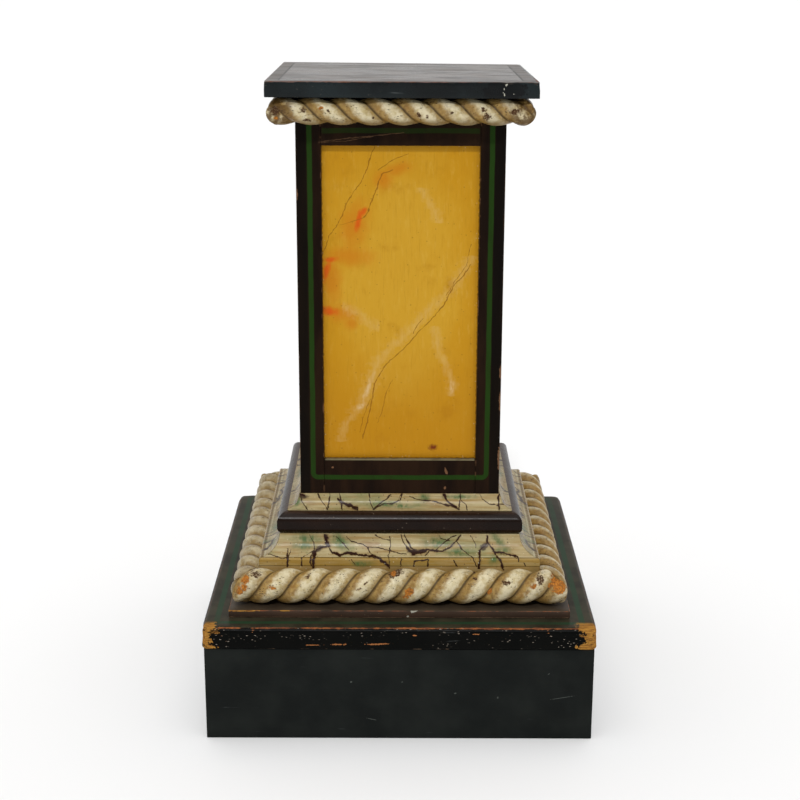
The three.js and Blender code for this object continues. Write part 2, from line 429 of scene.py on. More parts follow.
class Paintbox:
    """The nodes of one material, written as sums over the surface in millimetres.

    across runs to the right of the side that is looked at, outward away from the stand's axis
    towards that side, and level upwards. base is the colour that has been laid so far.
    """

    def __init__(self, name: str, ground: Colour, side: Side = Side.FRONT, seed: float = 0.0) -> None:
        """Starts a material with its first coat.

        Args:
            name: The material's name.
            ground: The colour of the first coat.
            side: The side that it is painted on.
            seed: Which part of every random pattern is used.
        """
        self.base: Value | Colour = ground
        self.material = bpy.data.materials.new(name)
        self.material.use_nodes = True
        self.tree = self.material.node_tree
        self.tree.nodes.clear()
        self.side = side
        self.seed = seed
        world = self.node("ShaderNodeTexCoord").outputs["Object"]
        scaled = self.vector("MULTIPLY", world, (1 / MM, 1 / MM, 1 / MM))
        turn = self.node("ShaderNodeVectorRotate")
        turn.rotation_type = "Z_AXIS"
        turn.inputs["Angle"].default_value = -side.angle
        self.feed(turn.inputs["Vector"], scaled)
        self.place = turn.outputs["Vector"]
        split = self.node("ShaderNodeSeparateXYZ")
        self.feed(split.inputs[0], self.place)
        self.across = split.outputs["X"]
        self.outward = self.times(split.outputs["Y"], -1)
        self.level = split.outputs["Z"]

    def node(self, kind: str) -> bpy.types.Node:
        """Adds a node of a kind."""
        return self.tree.nodes.new(kind)

    def feed(self, socket: Socket, value: Value | Colour | Place) -> None:
        """Links a socket to a value, or sets it.

        Args:
            socket: The input.
            value: Another node's output, or a plain value.
        """
        if isinstance(value, Socket):
            self.tree.links.new(value, socket)
        else:
            socket.default_value = value

    def sum(self, kind: str, *terms: Value) -> Socket:
        """Works out one sum.

        Args:
            kind: The operation of a math node.
            terms: Its inputs.

        Returns:
            The result.
        """
        node = self.node("ShaderNodeMath")
        node.operation = kind
        for socket, term in zip(node.inputs, terms):
            self.feed(socket, term)
        return node.outputs[0]

    def vector(self, kind: str, *terms: Value | Place) -> Socket:
        """Works out one sum with vectors.

        Args:
            kind: The operation of a vector math node.
            terms: Its vector inputs.

        Returns:
            The resulting vector, or the number that a length gives.
        """
        node = self.node("ShaderNodeVectorMath")
        node.operation = kind
        for socket, term in zip(node.inputs, terms):
            self.feed(socket, term)
        return node.outputs["Value" if kind == "LENGTH" else "Vector"]

    def plus(self, a: Value, b: Value) -> Socket:
        """Adds two values."""
        return self.sum("ADD", a, b)

    def minus(self, a: Value, b: Value) -> Socket:
        """Takes the second value from the first."""
        return self.sum("SUBTRACT", a, b)

    def times(self, a: Value, b: Value) -> Socket:
        """Multiplies two values."""
        return self.sum("MULTIPLY", a, b)

    def size(self, a: Value) -> Socket:
        """Drops a value's sign."""
        return self.sum("ABSOLUTE", a)

    def least(self, *values: Value) -> Value:
        """Gives the least of some values."""
        return functools.reduce(lambda a, b: self.sum("MINIMUM", a, b), values)

    def most(self, *values: Value) -> Value:
        """Gives the greatest of some values."""
        return functools.reduce(lambda a, b: self.sum("MAXIMUM", a, b), values)

    def both(self, *masks: Value) -> Value:
        """Gives the mask of what lies in all of some masks."""
        return functools.reduce(self.times, masks)

    def inverse(self, mask: Value) -> Socket:
        """Turns a mask inside out."""
        return self.minus(1.0, mask)

    def away(self, a: Value, b: Value) -> Socket:
        """Gives how far away a place is that lies so far in each of two directions."""
        return self.sum("SQRT", self.plus(self.times(a, a), self.times(b, b)))

    def from_axis(self) -> Value:
        """Gives how far out a place is from the stand's axis, on the side that it is nearest to."""
        return self.most(self.size(self.across), self.size(self.outward))

    def ramp(self, value: Value, start: float, end: float, low: float = 0.0, high: float = 1.0,
             smooth: bool = True) -> Socket:
        """Goes from low to high while a value goes from start to end.

        Args:
            value: The value.
            start: Where the ramp begins.
            end: Where it ends.
            low: The result before the ramp.
            high: The result after it.
            smooth: Whether it eases in and out.

        Returns:
            The result.
        """
        node = self.node("ShaderNodeMapRange")
        node.interpolation_type = "SMOOTHSTEP" if smooth else "LINEAR"
        for socket, term in zip(node.inputs, (value, start, end, low, high)):
            self.feed(socket, term)
        return node.outputs[0]

    def band(self, value: Value, middle: float, half: float, soft: float) -> Socket:
        """Gives the mask of values near a middle.

        Args:
            value: The value.
            middle: The band's middle.
            half: Half its width.
            soft: How far its edges fade.

        Returns:
            The mask.
        """
        return self.ramp(self.size(self.minus(value, middle)), half + soft / 2, half - soft / 2)

    def swing(self, pattern: Value, reach: float, width: float = 0.25) -> Socket:
        """Makes a random pattern swing as far down as up.

        Args:
            pattern: The pattern, between nought and one.
            reach: How far it swings.
            width: How far from its middle the pattern is where the swing is full.

        Returns:
            The swinging value.
        """
        return self.ramp(pattern, 0.5 - width, 0.5 + width, -reach, reach, smooth=False)

    def shrunk(self, size: float, stretch: Place) -> Socket:
        """Gives the place counted in patches of a size, longer along each axis by a stretch."""
        return self.vector("MULTIPLY", self.place, tuple(1 / (size * s) for s in stretch))

    def cloud(self, size: float, detail: float = 3.0, rough: float = 0.6, stretch: Place = EVEN,
              lift: float = 0.0) -> Socket:
        """Gives a random pattern between nought and one.

        Args:
            size: The size of its largest patches.
            detail: How many finer layers it has.
            rough: How strong those layers are.
            stretch: How much longer patches are across, outward and upwards.
            lift: Moves on to another random pattern.

        Returns:
            The pattern.
        """
        node = self.node("ShaderNodeTexNoise")
        node.noise_dimensions = "4D"
        self.feed(node.inputs["Vector"], self.shrunk(size, stretch))
        node.inputs["W"].default_value = self.seed + lift
        node.inputs["Scale"].default_value = 1.0
        node.inputs["Detail"].default_value = detail
        node.inputs["Roughness"].default_value = rough
        return node.outputs[0]

    def flecks(self, size: float, share: float, lift: float = 0.0, stretch: Place = EVEN) -> Socket:
        """Gives the mask of small scattered flecks with ragged edges.

        Args:
            size: The distance between possible flecks.
            share: How much of that distance a fleck is wide.
            lift: Moves on to another random pattern.
            stretch: How much longer flecks are across, outward and upwards.

        Returns:
            The mask.
        """
        cells = self.node("ShaderNodeTexVoronoi")
        moved = self.vector("ADD", self.shrunk(size, stretch), (self.seed, lift, self.seed - lift))
        self.feed(cells.inputs["Vector"], moved)
        cells.inputs["Scale"].default_value = 1.0
        ragged = self.swing(self.cloud(size * 0.35, 2, lift=lift + 3), 0.5, 0.2)
        reach = self.plus(cells.outputs["Distance"], self.times(ragged, share))
        return self.ramp(reach, share, share * 0.8)

    def mix(self, mask: Value, under: Value | Colour, over: Value | Colour) -> Socket:
        """Lays one colour over another.

        Args:
            mask: Where the upper colour shows.
            under: The lower colour.
            over: The upper colour.

        Returns:
            The mixed colour.
        """
        node = self.node("ShaderNodeMix")
        node.data_type = "RGBA"
        sockets = {socket.identifier: socket for socket in (*node.inputs, *node.outputs)}
        self.feed(sockets["Factor_Float"], mask)
        self.feed(sockets["A_Color"], under)
        self.feed(sockets["B_Color"], over)
        return sockets["Result_Color"]

    def lay(self, mask: Value, over: Value | Colour) -> None:
        """Lays a colour on what has been laid so far.

        Args:
            mask: Where it shows.
            over: The colour.
        """
        self.base = self.mix(mask, self.base, over)

    def spots(self, spots: Iterable[Spot], ragged: float, grain: float,
              height: Value | None = None) -> Socket:
        """Gives how far a place is outside the nearest of some patches.

        Args:
            spots: The patches.
            ragged: How uneven their outlines are.
            grain: The size of that unevenness.
            height: What is measured upwards, where it isn't the level.

        Returns:
            Less than one inside a patch, and more outside.
        """
        flat = self.node("ShaderNodeCombineXYZ")
        self.feed(flat.inputs[0], self.times(self.across, self.side.hand))
        self.feed(flat.inputs[1], self.level if height is None else height)
        nearest: Value = FAR
        for spot in spots:
            mapping = self.node("ShaderNodeMapping")
            mapping.vector_type = "TEXTURE"
            self.feed(mapping.inputs["Vector"], flat.outputs[0])
            mapping.inputs["Location"].default_value = (spot.across, spot.level, 0)
            mapping.inputs["Rotation"].default_value = (0, 0, math.radians(spot.tilt))
            mapping.inputs["Scale"].default_value = (spot.width, spot.height, 1)
            nearest = self.least(self.vector("LENGTH", mapping.outputs[0]), nearest)
        return self.plus(nearest, self.swing(self.cloud(grain, lift=7), ragged))

    def inside(self, reach: Value, soft: float = 0.08) -> Socket:
        """Gives the mask of where a reach from patches or lines is less than one, with soft edges."""
        return self.ramp(reach, 1 + soft, 1 - soft)

    def veins(self, veins: Iterable[Vein], wander: float, height: Value | None = None) -> Value:
        """Gives how far a place is from the nearest of some brush lines.

        Args:
            veins: The lines.
            wander: How far the brush strays from the points.
            height: What is measured upwards, where it isn't the level.

        Returns:
            The distance in half widths of the line.
        """
        upwards = self.level if height is None else height
        across = self.times(self.across, self.side.hand)
        stray = self.swing(self.cloud(6.0, lift=11), wander, 0.3)
        swell = self.ramp(self.cloud(7.0, lift=13), 0.3, 0.7, 0.35, 1.65, smooth=False)
        nearest: Value = FAR
        for vein in veins:
            running, crossing = (across, upwards) if vein.sideways else (upwards, across)
            order = sorted(vein.points if vein.sideways else [(z, x) for x, z in vein.points])
            start, end = order[0][0], order[-1][0]
            low = min(point[1] for point in order)
            high = max(max(point[1] for point in order), low + TINY)
            curve = self.node("ShaderNodeFloatCurve")
            line = curve.mapping.curves[0]
            shares = [((a - start) / (end - start), (b - low) / (high - low)) for a, b in order]
            line.points[0].location = shares[0]
            line.points[1].location = shares[-1]
            for share in shares[1:-1]:
                line.points.new(*share)
            for point in line.points:
                point.handle_type = "VECTOR"
            curve.mapping.update()
            self.feed(curve.inputs["Value"], self.ramp(running, start, end, smooth=False))
            middle = self.ramp(curve.outputs[0], 0, 1, low, high, smooth=False)
            square = vein.stroke * math.hypot(1, (order[-1][1] - order[0][1]) / (end - start))
            away = self.size(self.minus(self.plus(crossing, stray), middle))
            reach = self.sum("DIVIDE", away, self.times(swell, square))
            past = self.most(self.minus(start, running), self.minus(running, end), 0.0)
            nearest = self.least(self.plus(reach, self.times(past, 2.0)), nearest)
        return nearest

    def near_edge(self, half: float, level: float, width: float, spread: float) -> Socket:
        """Gives the mask of the worn arris round a square board.

        Args:
            half: Half the width across the arris.
            level: The arris's level.
            width: How far the wear reaches.
            spread: How uneven that reach is.

        Returns:
            The mask.
        """
        reach = self.away(self.minus(half, self.from_axis()), self.minus(self.level, level))
        return self.worn(reach, self.cloud(14.0, 4, 0.65, lift=17), width, spread)

    def worn(self, reach: Value, pattern: Socket, width: float, spread: float) -> Socket:
        """Gives the mask of what is worn near an arris.

        Args:
            reach: How far a place is from the arris.
            pattern: The pattern that makes the wear uneven.
            width: How far the wear reaches.
            spread: How uneven that reach is.

        Returns:
            The mask.
        """
        return self.ramp(self.minus(reach, self.swing(pattern, spread)), width + 0.3, width - 0.3)

    def relief(self, *layers: tuple[Value, float]) -> Value:
        """Piles up a relief.

        Args:
            layers: Patterns, each with its height in millimetres.

        Returns:
            The relief in millimetres.
        """
        return functools.reduce(self.plus, [self.times(*layer) for layer in layers])

    def finish(self, roughness: Value, height: Value, specular: float) -> bpy.types.Material:
        """Joins the shader under the colour that has been laid.

        Args:
            roughness: How matt the surface is.
            height: Its relief in millimetres.
            specular: The strength of its reflections.

        Returns:
            The finished material.
        """
        shader = self.node("ShaderNodeBsdfPrincipled")
        self.feed(shader.inputs["Base Color"], self.base)
        self.feed(shader.inputs["Roughness"], roughness)
        shader.inputs["Specular IOR Level"].default_value = specular
        bump = self.node("ShaderNodeBump")
        bump.inputs["Distance"].default_value = MM
        self.feed(bump.inputs["Height"], height)
        self.feed(shader.inputs["Normal"], bump.outputs[0])
        output = self.node("ShaderNodeOutputMaterial")
        self.feed(output.inputs["Surface"], shader.outputs[0])
        return self.material


class Finish:
    """One finish, which is mixed into a material."""

    def mixed(self) -> bpy.types.Material:
        """Mixes the paint and gives its material."""
        raise NotImplementedError


@dataclass(frozen=True)
class RawWood:
    """Bare old pine, where paint and ground have gone."""

    light: Colour = colour("b08038")
    dark: Colour = colour("6a4020")
    grain_size: float = 1.2
    grain_length: float = 12.0

    def show(self, box: Paintbox) -> Socket:
        """Gives the colour of the bare wood.

        Args:
            box: The material that it shows in.

        Returns:
            The colour.
        """
        grain = box.cloud(self.grain_size, stretch=(self.grain_length, 1, 1), lift=23)
        return box.mix(box.ramp(grain, 0.35, 0.7), self.light, self.dark)


@dataclass(frozen=True)
class BlackPaint(Finish):
    """Old black paint over wood, on a square board, with its arrises worn to the wood.

    The places of the worn arrises come from the board's own size. What has a width, a share or a
    strength of nought isn't there.
    """

    name: str
    half: float
    low: float
    high: float
    face: Colour
    face_tint: Colour
    top: Colour
    top_tint: Colour
    sheen: float
    specular: float
    scuffs: float
    top_wear: float
    top_wear_spread: float
    top_round: float = 0.0
    crest_in: float = 0.5
    crest_down: float = 0.13
    other_edges: float = 1.0
    foot_wear: float = 0.0
    fleck_share: float = 0.0
    top_relief: float = 0.3
    top_band: float = 1.2
    top_cracks: tuple[Vein, ...] = ()
    top_scratches: float = 0.0
    line_half: float = 0.0
    line_width: float = 0.0
    bare_depth: float = 0.0
    bare: tuple[Spot, ...] = ()
    chips: tuple[Spot, ...] = ()
    blots: tuple[Spot, ...] = ()
    stained: tuple[Spot, ...] = ()
    line: Colour = colour("203a26")
    worn: Colour = colour("8f5630")
    worn_deep: Colour = colour("6b3f2a")
    worn_foot: Colour = colour("7d6650")
    ground: Colour = colour("857c70")
    wood_brown: Colour = colour("9a6238")
    scratch: Colour = colour("6f7373")
    dust: Colour = colour("a89c90")
    deep: Colour = colour("050506")
    chip: Colour = colour("a8a698")

    def mixed(self) -> bpy.types.Material:
        """Mixes the paint and gives its material."""
        box = Paintbox(self.name, self.face, seed=self.half / 10)
        fine = box.cloud(2.2, stretch=(5, 5, 1), lift=2)
        upward = self.top_mask(box)
        top, dull = self.top_coat(box)
        box.lay(box.ramp(box.cloud(70, 3, 0.55), 0.35, 0.7), self.face_tint)
        box.lay(upward, top)
        sides = box.inverse(upward)
        scratch = box.ramp(box.cloud(5, 3, 0.55, stretch=(9, 9, 0.6), lift=6), 0.66, 0.74)
        zone = box.ramp(box.cloud(25, 2, 0.5, lift=8), 0.45, 0.65)
        box.lay(box.both(scratch, zone, sides, self.scuffs), self.scratch)
        wear = box.near_edge(self.half - self.top_round * self.crest_in,
                             self.high - self.top_round * self.crest_down,
                             self.top_wear, self.top_wear_spread)
        wear = box.times(wear, box.ramp(box.outward, self.half - 9, self.half - 5, self.other_edges, 1))
        box.lay(wear, box.mix(box.ramp(fine, 0.4, 0.6), self.worn, self.worn_deep))
        if self.foot_wear:
            foot = box.near_edge(self.half, self.low, self.foot_wear, self.top_wear_spread)
            box.lay(foot, self.worn_foot)
        bare = self.lay_losses(box, sides)
        gone = box.most(wear, bare)
        calm = box.ramp(upward, 0, 1, 1, self.top_relief)
        height = box.times(box.relief((fine, 0.03), (box.cloud(9, 3, 0.5, lift=14), 0.1)), calm)
        height = box.minus(height, box.times(gone, 0.25))
        roughness = box.ramp(box.cloud(18, 4, lift=15), 0.3, 0.7, -0.07, 0.1)
        roughness = box.plus(box.times(roughness, calm), self.sheen)
        if self.top_scratches:
            roughness = box.plus(roughness, box.both(upward, dull, self.top_scratches))
        return box.finish(box.most(roughness, box.times(gone, 0.75)), height, self.specular)

    def top_mask(self, box: Paintbox) -> Value:
        """Gives the mask of the board's top, also where it has warped.

        Args:
            box: The material.

        Returns:
            The mask.
        """
        flat = box.ramp(box.level, self.high - 1.2, self.high - 0.4)
        sunk = box.ramp(box.level, self.high - self.top_band - 0.2, self.high - self.top_band + 0.2)
        inside = box.ramp(box.minus(self.half, box.from_axis()), 0.3, 0.9)
        return box.most(flat, box.both(sunk, inside))

    def top_coat(self, box: Paintbox) -> tuple[Socket, Value]:
        """Gives the colour of the board's top, with its painted line, dust and cracks.

        Args:
            box: The material.

        Returns:
            The colour, and the mask of where the top is rubbed dull.
        """
        top = box.mix(box.ramp(box.cloud(38, 4, lift=4), 0.35, 0.65), self.top, self.top_tint)
        dull: Value = 0.0
        if self.line_width:
            stripe = box.band(box.from_axis(), self.line_half, self.line_width / 2, 1.2)
            faded = box.ramp(box.cloud(30, 4, 0.65, stretch=(3, 3, 1), lift=5), 0.25, 0.6, 0.25, 0.85)
            dull = box.both(stripe, faded)
            top = box.mix(dull, top, self.line)
        if self.top_scratches:
            # the rubbed places of the top, which are only made duller here
            rubbed = box.ramp(box.cloud(26, 4, 0.65, stretch=(3, 1, 1), lift=21), 0.42, 0.72, 0, 0.6)
            lines = box.ramp(box.cloud(5, stretch=(12, 0.6, 1), lift=23), 0.55, 0.72, 0, 0.7)
            border = box.ramp(box.from_axis(), self.line_half, self.line_half + 1.5, 0, 0.3)
            dull = box.most(dull, box.least(box.plus(box.plus(rubbed, lines), border), 1.0))
            top = box.mix(box.both(box.flecks(7, 0.09, lift=22), 0.5), top, self.dust)
        if self.top_cracks:
            cracks = box.inside(box.veins(self.top_cracks, 0.8, height=box.outward), 0.3)
            top = box.mix(box.times(cracks, 0.6), top, self.deep)
        return top, dull

    def lay_losses(self, box: Paintbox, sides: Value) -> Value:
        """Lays the flecks, blots, stains, chips and bare places.

        Args:
            box: The material.
            sides: The mask of the board's sides.

        Returns:
            The mask of the bare wood.
        """
        if self.fleck_share:
            zone = box.ramp(box.cloud(26, 4, 0.65, stretch=(1.5, 1.5, 0.5), lift=9), 0.49, 0.6)
            flecks = box.flecks(3.2, self.fleck_share, lift=10, stretch=(2.0, 2.0, 0.8))
            browner = box.ramp(box.cloud(20, 1, 0.5, lift=12), 0.6, 0.66)
            box.lay(box.both(flecks, zone, sides), box.mix(browner, self.ground, self.wood_brown))
        front = box.ramp(box.outward, self.half - 2.5, self.half - 1.5)
        for spots, ragged, grain, cover, over in (
            (self.blots, 0.3, 6.0, 0.75, self.deep),
            (self.stained, 0.9, 3.0, 1.0, self.wood_brown),
            (self.chips, 0.6, 1.6, 1.0, self.chip),
        ):
            if spots:
                box.lay(box.both(box.inside(box.spots(spots, ragged, grain)), front, cover), over)
        if not self.bare:
            return 0.0
        reach = box.ramp(box.outward, self.half - self.bare_depth, self.half - self.bare_depth * 0.6)
        kept = box.ramp(box.cloud(7, 5, 0.7, stretch=(2, 2, 0.7), lift=24), 0.55, 0.59, 1, 0.15)
        bare = box.both(box.inside(box.spots(self.bare, 0.7, 5)), reach, kept)
        box.lay(bare, RawWood().show(box))
        return bare


@dataclass(frozen=True)
class FramePaint(Finish):
    """Brown-black paint on the frame of one side, with a green line round the panel."""

    side: Side
    shaft_half: float
    panel_low: float
    panel_reach: float = 100.0
    line_from_edge: float = 17.5
    line_below_panel: float = 25.0
    line_width: float = 6.4
    line_corner: float = 6.5
    top_line_level: float = 786.0
    dark: Colour = colour("180f0a")
    brown: Colour = colour("27190f")
    outer: Colour = colour("0a0a08")
    green: Colour = colour("213a12")
    pale: Colour = colour("7d5f45")
    ledge: Colour = colour("8d8668")
    wood: Colour = colour("5e3c28")
    specular: float = 0.03
    scratches: tuple[Vein, ...] = (
        Vein(((-104, 772), (-60, 777), (4, 783.5)), 0.45, sideways=True),
        Vein(((-104, 771), (-70, 773), (-35, 779)), 0.3, sideways=True),
    )
    chips: tuple[Spot, ...] = (
        Spot(62, 333, 1.6, 5.5, 15), Spot(61, 309, 1.6, 2.2), Spot(-90, 338, 1.4, 1.4),
        Spot(132.5, 470, 1.5, 9), Spot(132.5, 430, 1.3, 14), Spot(132.5, 352, 1.6, 16),
        Spot(-132.5, 705, 1.2, 7), Spot(101, 560, 1.0, 12), Spot(-101.5, 420, 0.9, 6),
    )

    def mixed(self) -> bpy.types.Material:
        """Mixes the paint and gives its material."""
        name = f"frame_paint_{self.side.label}"
        box = Paintbox(name, self.dark, self.side, seed=20 + self.side.value)
        sideways = box.size(box.across)
        beside_panel = box.ramp(sideways, self.panel_reach + 1, self.panel_reach - 1)
        box.lay(box.ramp(box.cloud(30, 4, stretch=(1, 1, 5)), 0.35, 0.68), self.brown)
        box.lay(box.ramp(sideways, self.shaft_half - 15, self.shaft_half - 12, 0, 0.7), self.outer)
        box.lay(self.line_mask(box, beside_panel), self.green)
        box.lay(box.times(box.inside(box.veins(self.scratches, 1.2), 0.5), 0.4), self.pale)
        dusty = box.ramp(box.cloud(16, 4, 0.65, stretch=(2, 1, 1), lift=9), 0.36, 0.56, 0.25, 0.75)
        box.lay(box.both(box.band(box.level, self.panel_low - 0.4, 0.5, 0.6), beside_panel, dusty),
                self.ledge)
        from_corner = box.away(box.minus(self.shaft_half, sideways),
                               box.minus(self.shaft_half, box.size(box.outward)))
        corner = box.worn(from_corner, box.cloud(16, 4, 0.65, lift=19), 0.5, 0.7)
        panel_edge = box.both(box.band(sideways, self.panel_reach + 1.6, 0.8, 0.5),
                              box.ramp(box.cloud(10, 4, lift=4), 0.56, 0.62))
        chips = box.inside(box.spots(self.chips, 0.5, 2.5))
        wear = box.most(box.times(corner, 0.7), box.times(panel_edge, 0.6), chips)
        box.lay(wear, box.mix(box.cloud(4, 2, 0.5, lift=5), self.pale, self.wood))
        height = box.relief((box.cloud(1.6, stretch=(1, 1, 9), lift=6), 0.06),
                            (box.cloud(12, 3, 0.5, lift=7), 0.15), (chips, -0.2))
        return box.finish(box.ramp(box.cloud(25, lift=8), 0.3, 0.7, 0.36, 0.5), height, self.specular)

    def line_mask(self, box: Paintbox, beside_panel: Value) -> Value:
        """Gives the mask of the green line: down both sides, below the panel, and faintly above it.

        Args:
            box: The material.
            beside_panel: The mask of what lies within the panel's width.

        Returns:
            The mask.
        """
        half = self.line_width / 2
        shake = box.swing(box.cloud(35, 2, 0.5, lift=1), 0.6, 0.3)
        straight = self.shaft_half - self.line_from_edge - self.line_corner
        lowest = self.panel_low - self.line_below_panel + self.line_corner
        past_side = box.most(box.minus(box.size(box.across), straight), 0.0)
        past_foot = box.most(box.minus(lowest, box.level), 0.0)
        main = box.band(box.plus(box.away(past_side, past_foot), shake), self.line_corner, half, 0.9)
        above = box.band(box.plus(box.level, shake), self.top_line_level, half, 1.2)
        front = box.ramp(box.outward, self.shaft_half - 2, self.shaft_half - 1)
        faded = box.ramp(box.cloud(22, stretch=(1, 1, 4), lift=2), 0.25, 0.55, 0.7, 1.0)
        return box.both(box.most(main, box.both(above, beside_panel, 0.5)), front, faded)


@dataclass(frozen=True)
class YellowMarbling(Finish):
    """The panels' ochre ground with thin brown veins, orange stains and pale smoke, under varnish."""

    side: Side
    low: float
    high: float
    half: float
    glow_above_middle: float = 30.0
    deep_from: float = 210.0
    deep_full: float = 20.0
    specular: float = 0.12
    ground: Colour = colour("c18b12")
    light: Colour = colour("c79726")
    deep: Colour = colour("aa740a")
    brushed: Colour = colour("99680a")
    slant_light: Colour = colour("d2aa48")
    slant_dark: Colour = colour("b47c10")
    lower: Colour = colour("b07608")
    warm: Colour = colour("c2740a")
    stain: Colour = colour("cf5206")
    smoky: Colour = colour("d0b070")
    milky: Colour = colour("dcc49a")
    speck: Colour = colour("7d5410")
    vein: Colour = colour("855608")
    burnt: Colour = colour("6e2c0a")
    edge: Colour = colour("8f5c06")
    rim: Colour = colour("4a300c")
    chip: Colour = colour("c9b48a")
    fine_veins: tuple[Vein, ...] = (
        Vein(((-32, 767), (-39, 752), (-42, 739), (-51, 719), (-61, 706), (-69, 693), (-74, 680),
              (-82, 664), (-92.5, 650), (-95, 640), (-101, 625)), 0.5),
        Vein(((-23, 731), (-28, 721), (-32, 707), (-37, 696), (-42, 681), (-47, 674), (-59, 670),
              (-71, 666), (-82, 664)), 0.6),
        Vein(((-23, 731), (-10, 735.5)), 0.5, sideways=True),
        Vein(((9, 756), (-11, 748), (-29, 735)), 0.35),
        Vein(((91, 613), (82, 598), (70, 586), (58, 561), (42.5, 542), (23, 522), (11, 507), (1, 497),
              (-18, 480), (-26, 467), (-34, 453), (-36, 438), (-38, 426), (-44, 398), (-50, 376)), 0.6),
        Vein(((91, 640), (86, 612), (72, 592), (60, 572)), 0.35),
        Vein(((30, 541), (22, 532), (17, 521)), 0.35),
        Vein(((-10, 457.5), (-18, 442), (-24, 414), (-30, 398)), 0.35),
        Vein(((-36, 438), (-44, 420), (-50, 402), (-54, 385)), 0.3),
    )
    orange: tuple[Spot, ...] = (
        Spot(-48, 682, 4, 7, -35), Spot(-54, 671, 3.5, 15, -12), Spot(-91, 619, 9, 4, 6),
        Spot(-96, 605, 4.5, 15, -16), Spot(-94, 551, 13, 5.5, -6),
    )
    haze: tuple[Spot, ...] = (
        Spot(-66, 624, 34, 13, -4), Spot(-60, 664, 18, 32, -16), Spot(-78, 548, 26, 12, -14),
        Spot(-22, 722, 12, 14), Spot(-4, 736, 18, 8, 12), Spot(-90, 590, 14, 30), Spot(-65, 534, 9, 9),
    )
    smoke: tuple[Vein, ...] = (
        Vein(((92, 624), (69, 582), (45, 560), (26, 539), (2, 514), (-26, 488), (-38, 459), (-48, 430),
              (-60, 411)), 2.8),
        Vein(((-26, 488), (-38, 459), (-48, 430), (-60, 411), (-75, 394), (-80, 372)), 2.2),
        Vein(((25, 712), (34, 699), (44, 683), (50, 668)), 2.2),
        Vein(((45, 530), (50, 499), (62, 474), (70, 453), (68, 436)), 2.2),
        Vein(((-75, 556), (-54, 547), (-42, 535), (-28, 529)), 2.4, sideways=True),
    )
    bright: tuple[Spot, ...] = (
        Spot(-42, 447, 3.2, 22, -20), Spot(69, 449, 3.2, 9), Spot(-52, 421, 8, 3.5, 40),
    )
    knot: Spot = Spot(44, 364, 5.6, 3.8)

    def mixed(self) -> bpy.types.Material:
        """Mixes the paint and gives its material."""
        name = f"yellow_marbling_{self.side.label}"
        box = Paintbox(name, self.ground, self.side, seed=40 + 3 * self.side.value)
        brush = box.cloud(1.7, 4, 0.7, stretch=(1, 1, 16), lift=2)
        slant = box.cloud(9, 4, 0.65, stretch=(0.7, 1, 2.6), lift=3)
        self.lay_ground(box, brush, slant)
        self.lay_marbling(box, slant)
        height = box.relief((brush, 0.05), (box.cloud(20, 3, 0.5, lift=6), 0.2))
        return box.finish(box.ramp(box.cloud(14, lift=8), 0.3, 0.7, 0.38, 0.5), height, self.specular)

    def lay_ground(self, box: Paintbox, brush: Socket, slant: Socket) -> None:
        """Lays the ochre, paler in the middle and deeper towards the foot.

        Args:
            box: The material.
            brush: The pattern of fine upright brush marks.
            slant: The pattern of broad soft strokes.
        """
        middle = (self.low + self.high) / 2
        rise = box.times(box.minus(box.level, middle + self.glow_above_middle),
                         self.half / (self.high - middle))
        glow = box.ramp(box.away(box.across, rise), self.half * 1.3, self.half * 0.2, 0, 0.5)
        glow = box.plus(glow, box.times(box.cloud(62, 4, stretch=(1, 1, 1.4)), 0.8))
        box.lay(box.ramp(glow, 0.42, 0.82), self.light)
        box.lay(box.ramp(box.cloud(45, 4, lift=1), 0.54, 0.74, 0, 0.7), self.deep)
        box.lay(box.ramp(brush, 0.5, 0.8, 0, 0.42), self.brushed)
        box.lay(box.ramp(slant, 0.52, 0.72, 0, 0.3), self.slant_light)
        box.lay(box.ramp(slant, 0.46, 0.28, 0, 0.3), self.slant_dark)
        box.lay(box.ramp(box.level, self.low + self.deep_from, self.low + self.deep_full, 0, 0.5),
                self.lower)

    def lay_marbling(self, box: Paintbox, slant: Socket) -> None:
        """Lays the stains, the smoke, the thin veins and the knot, and darkens and chips the edges.

        Args:
            box: The material.
            slant: The pattern of broad soft strokes.
        """
        box.lay(box.ramp(box.spots(self.haze, 0.4, 18), 1.5, 0.1, 0, 0.72), self.warm)
        blot = box.ramp(box.spots(self.orange, 0.35, 9), 1.5, 0.3, 0, 0.9)
        box.lay(box.both(blot, box.ramp(slant, 0.3, 0.5, 0.6, 1)), self.stain)
        wisp = box.ramp(box.cloud(5, 4, 0.7, stretch=(0.8, 1, 2.4), lift=4), 0.32, 0.62, 0.25, 1)
        box.lay(box.both(box.ramp(box.veins(self.smoke, 1.6), 4.2, 0.0, 0, 0.34), wisp), self.smoky)
        box.lay(box.both(box.ramp(box.spots(self.bright, 0.4, 6), 1.4, 0.2, 0, 0.5), wisp), self.milky)
        box.lay(box.both(box.flecks(9, 0.1, lift=5), 0.45), self.speck)
        box.lay(box.times(box.inside(box.veins(self.fine_veins, 1.5), 0.6), 0.85), self.vein)
        box.lay(box.ramp(box.spots((self.knot,), 0.4, 3), 1.6, 0.2), self.burnt)
        inset = box.least(box.minus(self.half, box.size(box.across)),
                          box.minus(box.level, self.low), box.minus(self.high, box.level))
        ragged = box.swing(box.cloud(5, 4, 0.7, lift=7), 1.2, 0.2)
        box.lay(box.ramp(inset, 8, 0.4, 0, 0.2), self.edge)
        box.lay(box.ramp(box.plus(inset, ragged), 0.9, 0.3, 0, 0.7), self.rim)
        box.lay(box.both(box.flecks(5, 0.14, lift=9), box.ramp(inset, 4.5, 2.5), 0.6), self.chip)


